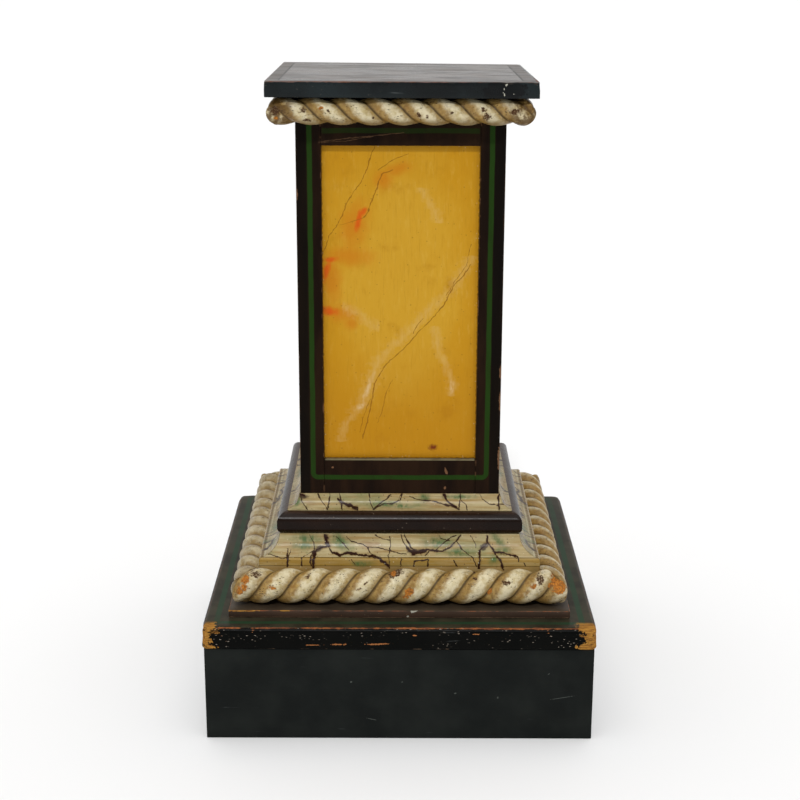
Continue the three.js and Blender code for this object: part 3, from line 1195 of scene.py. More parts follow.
@dataclass(frozen=True)
class CreamMarbling(Finish):
    """Cream and green marbling with branching dark veins, on one length of coved moulding.

    Veins, tints and ledges are placed by how high they look from a little above: their level, less
    a share of how far out they lie.
    """

    name: str
    side: Side
    veins: tuple[Vein, ...]
    heavy: tuple[Vein, ...]
    tints: tuple[Spot, ...]
    blots: tuple[Spot, ...]
    seed: float
    ledge: float | None = None
    foot: float | None = None
    lean_back: float = 0.29
    specular: float = 0.15
    cream: Colour = colour("b4a57c")
    tan: Colour = colour("9c8252")
    olive: Colour = colour("868458")
    rose: Colour = colour("8f6a4a")
    brushed: Colour = colour("74602f")
    pale: Colour = colour("b8ac80")
    under_ledge: Colour = colour("937430")
    # painted shade line and painted highlight along the ledge
    ledge_shade_line: Colour = colour("5d4a26")
    ledge_highlight: Colour = colour("cfc6a4")
    foot_tan: Colour = colour("9c8256")
    # painted shade line along the foot
    foot_shade_line: Colour = colour("3d2f1a")
    green: Colour = colour("2c5a30")
    sage: Colour = colour("54724a")
    halo: Colour = colour("64481f")
    blot: Colour = colour("35241a")
    dark: Colour = colour("2a1208")
    dark_speck: Colour = colour("2c241a")
    pale_speck: Colour = colour("c9c2a6")
    # grime and painted shade on the sides that are not the front
    grime_and_side_shade: Colour = colour("574c34")

    def mixed(self) -> bpy.types.Material:
        """Mixes the paint and gives its material."""
        box = Paintbox(f"{self.name}_{self.side.label}", self.cream, self.side,
                       seed=self.seed + 5 * self.side.value)
        rise = box.minus(box.level, box.times(box.outward, self.lean_back))
        brush = box.cloud(1.6, 3, 0.65, stretch=(25, 1, 1), lift=1)
        self.lay_ground(box, rise, brush)
        self.lay_marbling(box, rise)
        # grime and painted shade: every side but the front is darkened in uneven patches
        if self.side is not Side.FRONT:
            box.lay(box.ramp(box.cloud(20, 4, lift=15), 0.3, 0.7, 0.2, 0.45), self.grime_and_side_shade)
        height = box.relief((brush, 0.05), (box.cloud(8, 3, 0.5, lift=5), 0.12))
        return box.finish(box.ramp(box.cloud(10, lift=6), 0.3, 0.7, 0.24, 0.34), height, self.specular)

    def lay_ground(self, box: Paintbox, rise: Socket, brush: Socket) -> None:
        """Lays the brushed cream and tan, and what marks the ledge and the foot: a painted highlight
        and a painted shade line at the ledge, and a painted shade line at the foot.

        Args:
            box: The material.
            rise: How high a place looks from a little above.
            brush: The pattern of fine level brush marks.
        """
        broad = box.cloud(7, 4, stretch=(12, 1, 0.8))
        box.lay(box.ramp(broad, 0.36, 0.66), self.tan)
        box.lay(box.ramp(box.cloud(26, stretch=(1.8, 1, 1), lift=2), 0.48, 0.7, 0, 0.8), self.olive)
        box.lay(box.ramp(box.cloud(22, stretch=(1.8, 1, 0.8), lift=9), 0.55, 0.75, 0, 0.6), self.rose)
        box.lay(box.ramp(brush, 0.5, 0.72, 0, 0.35), self.brushed)
        box.lay(box.ramp(brush, 0.48, 0.3, 0, 0.25), self.pale)
        if self.ledge is not None:
            below = box.ramp(rise, self.ledge + 1.0, self.ledge - 0.5)
            box.lay(box.both(below, box.ramp(broad, 0.3, 0.6, 0.5, 0.95)), self.under_ledge)
            # painted shade: a dark line along the ledge, and a painted highlight just above it
            box.lay(box.times(box.band(rise, self.ledge, 0.5, 0.6), 0.65), self.ledge_shade_line)
            box.lay(box.times(box.band(rise, self.ledge + 1.4, 0.5, 0.6), 0.5), self.ledge_highlight)
        if self.foot is not None:
            box.lay(box.ramp(rise, self.foot, self.foot - 1.0, 0, 0.6), self.foot_tan)
            # painted shade: a dark line along the foot
            box.lay(box.times(box.band(rise, self.foot, 0.5, 0.6), 0.7), self.foot_shade_line)

    def lay_marbling(self, box: Paintbox, rise: Socket) -> None:
        """Lays the green washes, the veins with their halos, and the specks.

        Args:
            box: The material.
            rise: How high a place looks from a little above.
        """
        strokes = box.ramp(box.cloud(7, stretch=(1, 1, 2.2), lift=12), 0.3, 0.6, 0.2, 1)
        wash = box.ramp(box.spots(self.tints, 0.3, 14, rise), 1.7, 0.1, 0, 0.85)
        box.lay(box.both(wash, strokes), self.green)
        box.lay(box.ramp(box.cloud(17, stretch=(1.6, 1, 1), lift=3), 0.6, 0.74, 0, 0.45), self.sage)
        thick = box.veins(self.heavy, 1.8, rise)
        thin = box.veins(self.veins, 1.5, rise)
        box.lay(box.ramp(box.least(thick, box.times(thin, 1.6)), 2.8, 0.9, 0, 0.5), self.halo)
        box.lay(box.times(box.inside(box.spots(self.blots, 0.45, 5, rise), 0.35), 0.85), self.blot)
        drawn = box.most(box.ramp(thin, 1.6, 0.7, 0, 0.95), box.ramp(thick, 1.3, 0.85, 0, 1))
        box.lay(drawn, self.dark)
        box.lay(box.both(box.flecks(7, 0.12, lift=4), 0.7), self.dark_speck)
        box.lay(box.both(box.flecks(8, 0.1, lift=14), 0.6), self.pale_speck)


@dataclass(frozen=True)
class AuberginePaint(Finish):
    """Dark aubergine-brown gloss on the round moulding, painted paler on its upper part as painted
    light.
    """

    deep: Colour = colour("130803")
    warm: Colour = colour("201006")
    # painted light: the paler colour of the upper part, as if lit from above
    rubbed: Colour = colour("3c2a1e")
    speck: Colour = colour("9a8a78")
    rubbed_level: float = 279.0
    rubbed_fade: float = 4.0
    specular: float = 0.13

    def mixed(self) -> bpy.types.Material:
        """Mixes the paint and gives its material."""
        box = Paintbox("aubergine_gloss", self.deep, seed=60)
        box.lay(box.ramp(box.cloud(40, stretch=(2, 2, 1)), 0.35, 0.7), self.warm)
        # painted light: the upper part of the moulding is painted paler, as if lit from above
        box.lay(box.ramp(box.level, self.rubbed_level, self.rubbed_level + self.rubbed_fade),
                self.rubbed)
        box.lay(box.both(box.flecks(9, 0.08, lift=1), 0.4), self.speck)
        height = box.relief((box.cloud(3, stretch=(5, 5, 1), lift=2), 0.03),
                            (box.cloud(22, 2, 0.5, lift=3), 0.15))
        return box.finish(box.ramp(box.cloud(9, lift=4), 0.3, 0.7, 0.26, 0.32), height, self.specular)


@dataclass(frozen=True)
class RopeSizes:
    """The twisted moulding: the path of its axis, its radius and twist, and where it is planed flat."""

    name: str
    centre_half: float
    centre_level: float
    radius: float
    lead: float
    lean: float
    turn: float
    back_half: float
    floor: float
    ceiling: float
    strand_radius: float = 0.78

    def reach(self, from_crown: np.ndarray) -> np.ndarray:
        """Gives how far the surface lies from the axis.

        Args:
            from_crown: Angles from the middle of a strand, in radians.

        Returns:
            The distances.
        """
        folded = from_crown - np.round(from_crown / math.pi) * math.pi
        offset = (1 - self.strand_radius) * self.radius
        strand = self.strand_radius * self.radius
        return offset * np.cos(folded) + np.sqrt(strand ** 2 - (offset * np.sin(folded)) ** 2)


@dataclass(frozen=True)
class CreamRopePaint(Finish):
    """Cream paint on the rope, ochre down the flanks of each strand, chipped to ground and wood."""

    sizes: RopeSizes
    side: Side
    seed: float
    dark_chips: tuple[Spot, ...] = ()
    raw_chips: tuple[Spot, ...] = ()
    # how much the end lobes of each length are darkened by grime
    grime_and_side_shade: float = 0.0
    # how much dirt and painted shade covers the side lengths at least, on the right and back and on the
    # left
    least_dirt: float = 0.1
    least_dirt_left: float = 0.32
    specular: float = 0.22
    cream: Colour = colour("d4c8a6")
    shade: Colour = colour("ad9862")
    ochre: Colour = colour("83622a")
    pale_ochre: Colour = colour("a58545")
    golden: Colour = colour("8f7234")
    rust: Colour = colour("85581f")
    groove: Colour = colour("37260c")
    # painted shade: the darker colour of the rope's underside
    under: Colour = colour("6e5426")
    # dirt and painted shade on the side lengths
    dirt: Colour = colour("6a532c")
    end_dirt: Colour = colour("5c4320")
    crack: Colour = colour("4d3d26")
    speck: Colour = colour("352415")
    bole: Colour = colour("4a2f1c")
    chip_rim: Colour = colour("7d5c3c")
    chip_light: Colour = colour("5a3c22")
    chip_dark: Colour = colour("2f1d10")
    raw_rim: Colour = colour("85592a")
    raw_light: Colour = colour("c8802f")
    raw_dark: Colour = colour("7c4718")

    def mixed(self) -> bpy.types.Material:
        """Mixes the paint and gives its material."""
        box = Paintbox(f"{self.sizes.name}_paint_{self.side.label}", self.cream, self.side,
                       self.seed + 7 * self.side.value)
        blotchy = box.cloud(9, 4)
        flank = self.flank(box)
        box.lay(box.ramp(blotchy, 0.42, 0.72, 0, 0.8), self.shade)
        self.lay_tints(box, flank)
        cracks = box.both(box.ramp(box.size(box.minus(box.cloud(7, 4, lift=4), 0.5)), 0.012, 0.004),
                          box.ramp(box.cloud(16, 2, 0.5, lift=5), 0.45, 0.6), 0.5)
        box.lay(cracks, self.crack)
        specks = box.both(box.flecks(3.0, 0.23, lift=6, stretch=(1.9, 1.2, 0.7)),
                          box.ramp(box.cloud(12, lift=7), 0.46, 0.58))
        box.lay(box.times(specks, 0.9), self.speck)
        loss = self.lay_losses(box, flank)
        height = box.relief((box.cloud(5, 3, 0.55, lift=10), 0.5),
                            (box.cloud(1.2, 2, 0.5, lift=11), 0.1),
                            (box.most(loss, specks), -0.45), (cracks, -0.25))
        roughness = box.most(box.ramp(blotchy, 0.3, 0.7, 0.27, 0.42), box.times(loss, 0.8))
        return box.finish(roughness, height, self.specular)

    def flank(self, box: Paintbox) -> Socket:
        """Gives where a place lies across its strand.

        Args:
            box: The material.

        Returns:
            From minus one in the groove on the right to one in the groove on the left.
        """
        sizes = self.sizes
        around = box.sum("ARCTAN2", box.minus(box.level, sizes.centre_level),
                         box.minus(box.outward, sizes.centre_half))
        twist = box.times(box.across, sizes.lean * math.tau / sizes.lead)
        phase = box.minus(box.minus(around, sizes.turn), twist)
        crown = box.times(box.sum("ROUND", box.times(phase, 1 / math.pi)), math.pi)
        return box.times(box.minus(phase, crown), sizes.lean * 2 / math.pi)

    def lay_tints(self, box: Paintbox, flank: Socket) -> None:
        """Lays the ochre on the flanks, the dark of the grooves, the painted shade on the underside,
        and the dirt with painted shade on the side lengths.

        Args:
            box: The material.
            flank: Where a place lies across its strand.
        """
        wander = box.swing(box.cloud(6, 4, 0.65, lift=1), 0.28)
        strayed = box.plus(flank, wander)
        left = box.ramp(strayed, -0.06, 0.5, 0, 0.92)
        mottled = box.ramp(box.cloud(5, lift=15), 0.35, 0.7)
        box.lay(left, box.mix(mottled, self.ochre, self.pale_ochre))
        box.lay(box.ramp(strayed, -0.4, -0.9, 0, 0.8), self.golden)
        box.lay(box.both(left, box.ramp(box.cloud(11, lift=2), 0.54, 0.66), 0.4), self.rust)
        box.lay(box.ramp(flank, 0.74, 0.98, 0, 0.85), self.groove)
        box.lay(box.ramp(flank, -0.88, -1.0, 0, 0.85), self.groove)
        # painted shade: the lower part of the rope is darkened, as if shaded from the light above
        upwards = box.minus(box.level, self.sizes.centre_level)
        box.lay(box.ramp(box.plus(upwards, box.times(wander, 6)), -self.sizes.radius * 0.3,
                         -self.sizes.radius * 0.85, 0, 0.75), self.under)
        # dirt and painted shade: the side lengths are darkened all over, most on the left, in uneven
        # patches
        if self.side is not Side.FRONT:
            least = self.least_dirt_left if self.side is Side.LEFT else self.least_dirt
            box.lay(box.ramp(box.cloud(16, 4, lift=17), 0.3, 0.75, least, least + 0.4), self.dirt)
        if self.grime_and_side_shade:
            half = self.sizes.centre_half
            ends = box.ramp(box.size(box.across), half * 0.84, half * 0.97, 0, self.grime_and_side_shade)
            uneven = box.ramp(box.cloud(7, 4, 0.65, lift=3), 0.34, 0.56)
            box.lay(box.both(ends, uneven), self.end_dirt)

    def lay_losses(self, box: Paintbox, flank: Socket) -> Value:
        """Lays the losses down to the ground and to the wood.

        Args:
            box: The material.
            flank: Where a place lies across its strand.

        Returns:
            The mask of all the losses.
        """
        loss: Value = box.both(box.ramp(box.cloud(8, 5, 0.75, lift=8), 0.69, 0.71),
                               box.ramp(box.size(flank), 0.85, 0.7))
        box.lay(loss, self.bole)
        if self.dark_chips:
            broken = box.ramp(box.cloud(1.9, lift=25), 0.4, 0.5, 0.1, 1)
            chips = box.times(box.inside(box.spots(self.dark_chips, 0.9, 2.4)), broken)
            rim = box.inside(box.spots(self.dark_chips, 0.8, 2.4), 0.5)
            box.lay(box.times(rim, 0.6), self.chip_rim)
            box.lay(chips, box.mix(box.cloud(2, 2, 0.5, lift=16), self.chip_light, self.chip_dark))
            loss = box.most(loss, chips)
        if self.raw_chips:
            broken = box.ramp(box.cloud(3.4, 4, 0.65, lift=26), 0.38, 0.5, 0.15, 1)
            reach = box.spots(self.raw_chips, 0.8, 5)
            raw = box.times(box.inside(reach), broken)
            grain = box.ramp(box.cloud(2.2, 3, 0.65, lift=9), 0.3, 0.7)
            box.lay(box.inside(reach, 0.5), self.raw_rim)
            box.lay(raw, box.mix(grain, self.raw_light, self.raw_dark))
            loss = box.most(loss, raw)
        return loss


# The stand's parts


class Part:
    """One sub-assembly, which builds its pieces and sets them in place."""

    def build(self) -> None:
        """Builds and paints the pieces."""
        raise NotImplementedError


@dataclass
class Plinth(Part):
    """The box plinth: four boards, the cap with its rounded edge, and the step board."""

    cap_corner: float = 9.0
    cap_top_round: float = 7.0
    cap_foot_round: float = 3.0
    cap_cell: float = 4.0
    corner_steps: int = 8
    round_steps: int = 6
    cap_rim: float = 40.0
    edge_levels: tuple[float, ...] = (0.3, 0.5, 0.65)
    top_insets: tuple[float, ...] = (12.0, 20.0, 28.0)
    line_in: float = 18.5
    wall_into_cap: float = 5.0

    def build(self) -> None:
        """Builds and paints the pieces."""
        self.build_walls()
        self.build_cap()
        self.build_step()

    def build_walls(self) -> None:
        """Builds the four boards of the box."""
        low, high = box_of("plinth_wall_front")
        paint = BlackPaint(
            name="plinth_black", half=high[0], low=low[2], high=high[2] + self.wall_into_cap,
            face=colour("131615"), face_tint=colour("1d201e"), top=colour("131615"),
            top_tint=colour("131615"), chip=colour("494d49"),
            sheen=0.5, specular=0.07, scuffs=0.16, top_wear=0.0, top_wear_spread=0.0,
            chips=(Spot(-63, 82, 1.6, 1.1), Spot(4, 82, 1.0, 0.8), Spot(74, 66, 1.6, 0.9, 30),
                   Spot(130, 60, 0.8, 1.5), Spot(196, 94, 1.5, 0.8, 30), Spot(215, 60, 14, 0.4, 10),
                   Spot(-36, 28, 6, 0.4, -12)),
        ).mixed()
        for side in Side:
            node = f"plinth_wall_{side.label}"
            piece = make_piece(f"{node}_board", shape_of_solid(node), Handwork(ease=0.8, cell=14))
            place_piece(piece, [node], paint)

    def cap_ring(self, half: float, corner: float, inset: float, level: float) -> list[Place]:
        """Draws one ring of the cap: a square with rounded corners.

        Args:
            half: Half the cap's width.
            corner: The radius of its corners.
            inset: How far the ring is drawn in from the cap's edge.
            level: The ring's level.

        Returns:
            Its points, as many as in every other ring.
        """
        straight = half - corner
        cells = int(2 * half / self.cap_cell)
        ring: list[Place] = []
        for side in Side:
            spin = Matrix.Rotation(side.angle, 3, "Z")
            for i in range(cells):
                place = Vector((-straight + 2 * straight * i / cells, -half + inset, level))
                ring.append(tuple(spin @ place))
            for i in range(self.corner_steps):
                angle = -math.pi / 2 + i / self.corner_steps * math.pi / 2
                turn = Vector((math.cos(angle), math.sin(angle), 0)) * (corner - inset)
                ring.append(tuple(spin @ (Vector((straight, -straight, level)) + turn)))
        return ring

    def build_cap(self) -> None:
        """Builds the cap board, worn to the wood at its corners."""
        low, high = box_of("plinth_cap")
        half = high[0]
        foot, top = self.cap_foot_round, self.cap_top_round
        levels: list[Point] = [(self.cap_rim, low[2])]
        levels += arc((foot, low[2] + foot), (foot, foot), -1, -2, self.round_steps)
        levels += [(0.0, low[2] + (high[2] - low[2]) * share) for share in self.edge_levels]
        levels += arc((top, high[2] - top), (top, top), 2, 1, self.round_steps)
        levels += [(inset, high[2]) for inset in (*self.top_insets, self.cap_rim)]
        rings = [self.cap_ring(half, max(self.cap_corner, inset + 0.5), inset, level)
                 for inset, level in levels]
        points = np.array([point for ring in rings for point in ring])
        shape = Shape(points, tube_faces(len(rings), len(rings[0])))
        bites = (Bite((half, -half, high[2] - 6), 24, 1.6), Bite((-half, -half, high[2] - 4), 26, 2.2),
                 Bite((-half, half, high[2] - 6), 20, 1.5), Bite((half, half, high[2] - 10), 18, 1.2),
                 Bite((-196, -half, high[2]), 16, 0.9), Bite((60, -half, high[2]), 12, 0.6))
        piece = make_piece("plinth_cap_board", shape, Handwork(ease=0, uneven=0.25, bites=bites))
        paint = BlackPaint(
            name="cap_black", half=half, low=low[2], high=high[2],
            face=colour("050605"), face_tint=colour("0a0a08"), top=colour("383427"),
            top_tint=colour("28251c"),
            sheen=0.36, specular=0.045, scuffs=0.3, fleck_share=0.2, foot_wear=0.8, top_wear=1.0,
            top_wear_spread=1.5, top_round=self.cap_top_round, other_edges=0.15,
            line_half=half - self.line_in, line_width=7.5, bare_depth=24,
            stained=(Spot(-80, 137, 9, 1.0), Spot(-30, 137.5, 15, 0.9, 2), Spot(-112, 136, 10, 0.6),
                     Spot(100, 152, 5, 0.7), Spot(20, 150, 3, 0.8)),
            bare=(Spot(257, 146, 17, 22), Spot(248, 157, 22, 6, -18), Spot(246, 134, 14, 5),
                  Spot(-257, 146, 11, 20), Spot(-245, 156, 12, 4, -14), Spot(-248, 133, 11, 3.5)),
        ).mixed()
        place_piece(piece, ["plinth_cap"], paint)

    def build_step(self) -> None:
        """Builds the thin step board."""
        low, high = box_of("step_board")
        bites = (Bite((20, low[1], high[2]), 7, 1.4), Bite((-212, low[1], high[2]), 10, 0.8),
                 Bite((150, low[1], low[2] + 4), 8, 0.5))
        piece = make_piece("step_board_worn", shape_of_solid("step_board"),
                           Handwork(ease=0.8, cell=9, uneven=0.25, bites=bites))
        paint = BlackPaint(
            name="step_brown_black", half=high[0], low=low[2], high=high[2],
            face=colour("3a2d24"), face_tint=colour("46352a"), top=colour("3a3026"),
            top_tint=colour("463c30"), worn=colour("8f5230"),
            sheen=0.4, specular=0.1, scuffs=0.2, fleck_share=0.1, foot_wear=0.8, top_wear=0.5,
            top_wear_spread=0.8, bare_depth=1.6,
            chips=(Spot(20, 170, 4.5, 2.0, 10), Spot(17, 169, 2.2, 2.2), Spot(11, 162, 1.6, 1.2)),
            bare=(Spot(-205, 169.6, 20, 1.6), Spot(-150, 169.8, 7, 0.9)),
        ).mixed()
        place_piece(piece, ["step_board"], paint)


@dataclass
class FootMouldings(Part):
    """The two coved mouldings and the round moulding between them, round the foot of the shaft."""

    lower_lip: float = 228.3
    lower_lip_depth: float = 14.0
    lower_lip_flat: float = 2.0
    lower_ease: float = 1.8
    lower_neck_half: float = 161.0
    lower_ledge: float = 175.2
    lower_foot: float = 163.6
    torus_under: Point = (156.0, 262.0)
    torus_over: Point = (150.0, 270.0)
    upper_lip: float = 284.5
    upper_neck: Point = (136.5, 297.5)
    upper_fillet_half: float = 135.3
    cove_steps: int = 22
    torus_steps: int = 16
    stations: int = 60
    lower_veins: tuple[Vein, ...] = (
        Vein(((-121, 205), (-115, 194), (-114, 184)), 0.5),
        Vein(((-130, 163), (-130, 175), (-122, 179), (-114, 184)), 0.6),
        Vein(((-117, 163), (-119, 168), (-118, 177), (-114, 184)), 0.9),
        Vein(((-85, 203), (-75, 193), (-67, 184)), 0.5),
        Vein(((-71, 203), (-65, 196), (-52, 193), (-43, 188)), 0.6, sideways=True),
        Vein(((-43, 188), (-40, 181), (-30, 175), (-15, 165)), 0.6),
        Vein(((-42, 188), (-28, 188), (-13, 183), (9, 179)), 0.5, sideways=True),
        Vein(((-33, 205), (-23, 200), (-12, 198)), 0.5, sideways=True),
        Vein(((-13, 203), (-12, 190), (-15, 178), (-13, 163)), 0.5),
        Vein(((53, 205), (55, 200), (67, 198)), 0.45, sideways=True),
        Vein(((76, 197), (84, 185), (97, 176), (103, 163)), 0.6),
        Vein(((95, 205), (101, 195), (102, 188)), 0.5),
        Vein(((34, 178), (40, 183), (49, 185), (60, 195), (69, 202), (76, 205)), 0.6, sideways=True),
        Vein(((6, 205), (10, 198), (15, 188), (25, 181)), 0.8),
        Vein(((158, 176), (158, 170), (165, 169), (167, 164)), 0.6),
        Vein(((1, 163), (2, 174)), 0.6), Vein(((19, 163), (20, 171)), 0.8),
        Vein(((20, 171), (30, 172), (38, 173)), 0.7, sideways=True), Vein(((38, 163), (38, 173)), 1.0),
        Vein(((77, 163), (72, 172)), 0.7), Vein(((-59, 165), (-64, 173)), 0.6),
        Vein(((-145, 185), (-148, 176), (-150, 162)), 0.6),
        Vein(((-175, 179), (-167, 177), (-155, 173), (-148, 176)), 0.5, sideways=True),
    )
    lower_heavy: tuple[Vein, ...] = (
        Vein(((-100, 206), (-98, 195), (-95, 188)), 2.2),
        Vein(((-113, 182), (-105, 188), (-95, 189), (-90, 181), (-80, 178), (-67, 181), (-53, 178),
              (-36, 177), (-26, 174), (-18, 168), (-13, 160)), 1.3, sideways=True),
        Vein(((-115, 160), (-114, 172), (-113, 183)), 1.8),
        Vein(((-26, 172), (-20, 168), (-14, 163)), 2.0, sideways=True),
        Vein(((2, 205), (5, 195), (9, 189), (14, 184), (20, 181), (32, 185), (44, 185), (55, 183),
              (67, 188), (76, 197), (82, 205)), 1.2, sideways=True),
        Vein(((9, 188), (16, 182), (25, 181), (36, 184)), 2.2, sideways=True),
        Vein(((117, 205), (118, 195), (111, 188), (107, 184), (106, 160)), 1.1),
        Vein(((118, 195), (125, 186), (128, 180), (135, 171), (138, 158)), 1.1),
        Vein(((128, 182), (141, 181), (150, 178), (158, 176)), 1.1, sideways=True),
        Vein(((-150, 186), (-149, 162)), 0.7),
    )
    lower_tints: tuple[Spot, ...] = (
        Spot(-80, 196, 14, 8, -40), Spot(-125, 200, 18, 7), Spot(52, 195, 20, 8),
        Spot(132, 198, 12, 5, -50), Spot(138, 184, 10, 5), Spot(-50, 167, 14, 4), Spot(125, 172, 6, 7),
        Spot(-128, 190, 16, 5), Spot(80, 182, 22, 5),
    )
    lower_blots: tuple[Spot, ...] = (
        Spot(114, 190, 7, 4, 40), Spot(-108, 186, 6, 3.5, 30), Spot(20, 183, 9, 2.6),
    )
    upper_veins: tuple[Vein, ...] = (
        Vein(((-135, 262), (-131, 250), (-124, 240)), 0.8),
        Vein(((-110, 262), (-106, 252), (-96, 240)), 0.6),
        Vein(((-94, 262), (-95, 252), (-97, 240)), 0.7),
        Vein(((-81, 262), (-79, 252), (-77, 240)), 0.7),
        Vein(((-41, 262), (-40, 251), (-35, 240)), 0.6),
        Vein(((-12, 261), (-17, 255), (-25, 250), (-30, 245), (-35, 240)), 0.8),
        Vein(((-30, 244), (-20, 248), (-10, 248), (-2, 253), (2, 262)), 0.6, sideways=True),
        Vein(((-7, 249), (1, 253), (3, 262)), 0.6),
        Vein(((32, 253), (44, 252), (61, 247), (77, 244)), 0.8, sideways=True),
        Vein(((13, 259), (20, 255), (32, 253)), 0.5, sideways=True),
        Vein(((82, 262), (81, 252), (80, 240)), 0.7), Vein(((83, 253), (89, 247), (91, 240)), 0.5),
        Vein(((108, 262), (111, 255), (121, 248), (133, 247)), 0.6, sideways=True),
        Vein(((133, 249), (142, 247), (151, 245)), 0.5, sideways=True),
    )
    upper_heavy: tuple[Vein, ...] = (
        Vein(((-84, 255), (-77, 249), (-67, 246), (-56, 241)), 1.7, sideways=True),
        Vein(((60, 262), (62, 255), (69, 248), (79, 241)), 1.5),
        Vein(((134, 262), (133, 256), (134, 240)), 1.0),
        Vein(((-138, 261), (-128, 259)), 2.0, sideways=True),
    )
    upper_tints: tuple[Spot, ...] = (
        Spot(33, 257, 6, 6), Spot(-20, 248, 18, 4), Spot(5, 245, 18, 3), Spot(-140, 250, 10, 8),
        Spot(80, 258, 20, 3),
    )
    upper_blots: tuple[Spot, ...] = (Spot(-130, 258, 6, 3),)

    @property
    def back_half(self) -> float:
        """Half the width between the mouldings' backs, just outside the shaft."""
        return -box_of("front_stile_left")[0][1] + TOUCH_GAP

    def build(self) -> None:
        """Builds and paints the pieces."""
        self.build_lower()
        self.build_torus()
        self.build_upper()

    def build_lower(self) -> None:
        """Builds the lower cove, which runs down behind the rope."""
        low, high = box_of("lower_cove_front")
        lip_half = -low[1]
        flat_half = lip_half - self.lower_lip_flat
        radii = (flat_half - self.lower_neck_half, high[2] - self.lower_lip)
        cove = arc((flat_half, high[2]), radii, 3, 2, self.cove_steps)
        front = [(lip_half, low[2]), (lip_half, self.lower_lip - self.lower_lip_depth),
                 (lip_half, self.lower_lip - self.lower_ease), *cove]
        self.run_round("lower_cove", front, Slot.CREAM_MARBLE, self.lower_paint,
                       Handwork(ease=0.3, uneven=0.2))

    def build_torus(self) -> None:
        """Builds the round moulding."""
        low, high = box_of("torus_front")
        widest = -low[1]
        under, over = self.torus_under, self.torus_over
        underside = arc(under, (widest - under[0], under[1] - low[2]), -1, 0, self.torus_steps)
        shoulder = arc(over, (widest - over[0], high[2] - over[1]), 0, 1, self.torus_steps)
        paint = AuberginePaint().mixed()
        self.run_round("torus", [*underside, *shoulder], Slot.AUBERGINE, lambda side: paint,
                       Handwork(ease=0.3, uneven=0.25))

    def build_upper(self) -> None:
        """Builds the upper cove."""
        low, high = box_of("upper_cove_front")
        lip_half, fillet_half = -low[1], self.upper_fillet_half
        neck_half, neck_level = self.upper_neck
        radii = (lip_half - neck_half, neck_level - self.upper_lip)
        cove = arc((lip_half, neck_level), radii, 3, 2, self.cove_steps)
        front = [(lip_half, low[2]), *cove, (fillet_half, neck_level), (fillet_half, high[2])]
        self.run_round("upper_cove", front, Slot.CREAM_MARBLE, self.upper_paint,
                       Handwork(ease=0.25, uneven=0.12))

    def run_round(self, name: str, front: Sequence[Point], slot: Slot,
                  paint_for: Callable[[Side], bpy.types.Material], work: Handwork) -> None:
        """Builds a moulding's four mitred lengths.

        Args:
            name: The start of the solids' names.
            front: The front of the moulding's section, upwards; its back is flat.
            slot: The material slot for its finish; not used.
            paint_for: Gives each side's paint.
            work: How the wood is worked.
        """
        low, high = box_of(f"{name}_front")
        section = [(self.back_half, low[2]), *front, (self.back_half, high[2])]
        shape = mitred_length(section, self.stations)
        for side in Side:
            node = f"{name}_{side.label}"
            piece = make_piece(f"{node}_moulding", shape.turned(side), work)
            place_piece(piece, [node], paint_for(side))

    def lower_paint(self, side: Side) -> bpy.types.Material:
        """Gives the lower cove's paint for a side."""
        return CreamMarbling("lower_marbling", side, self.lower_veins, self.lower_heavy,
                             self.lower_tints, self.lower_blots, seed=80, ledge=self.lower_ledge,
                             foot=self.lower_foot).mixed()

    def upper_paint(self, side: Side) -> bpy.types.Material:
        """Gives the upper cove's paint for a side."""
        return CreamMarbling("upper_marbling", side, self.upper_veins, self.upper_heavy,
                             self.upper_tints, self.upper_blots, seed=100).mixed()


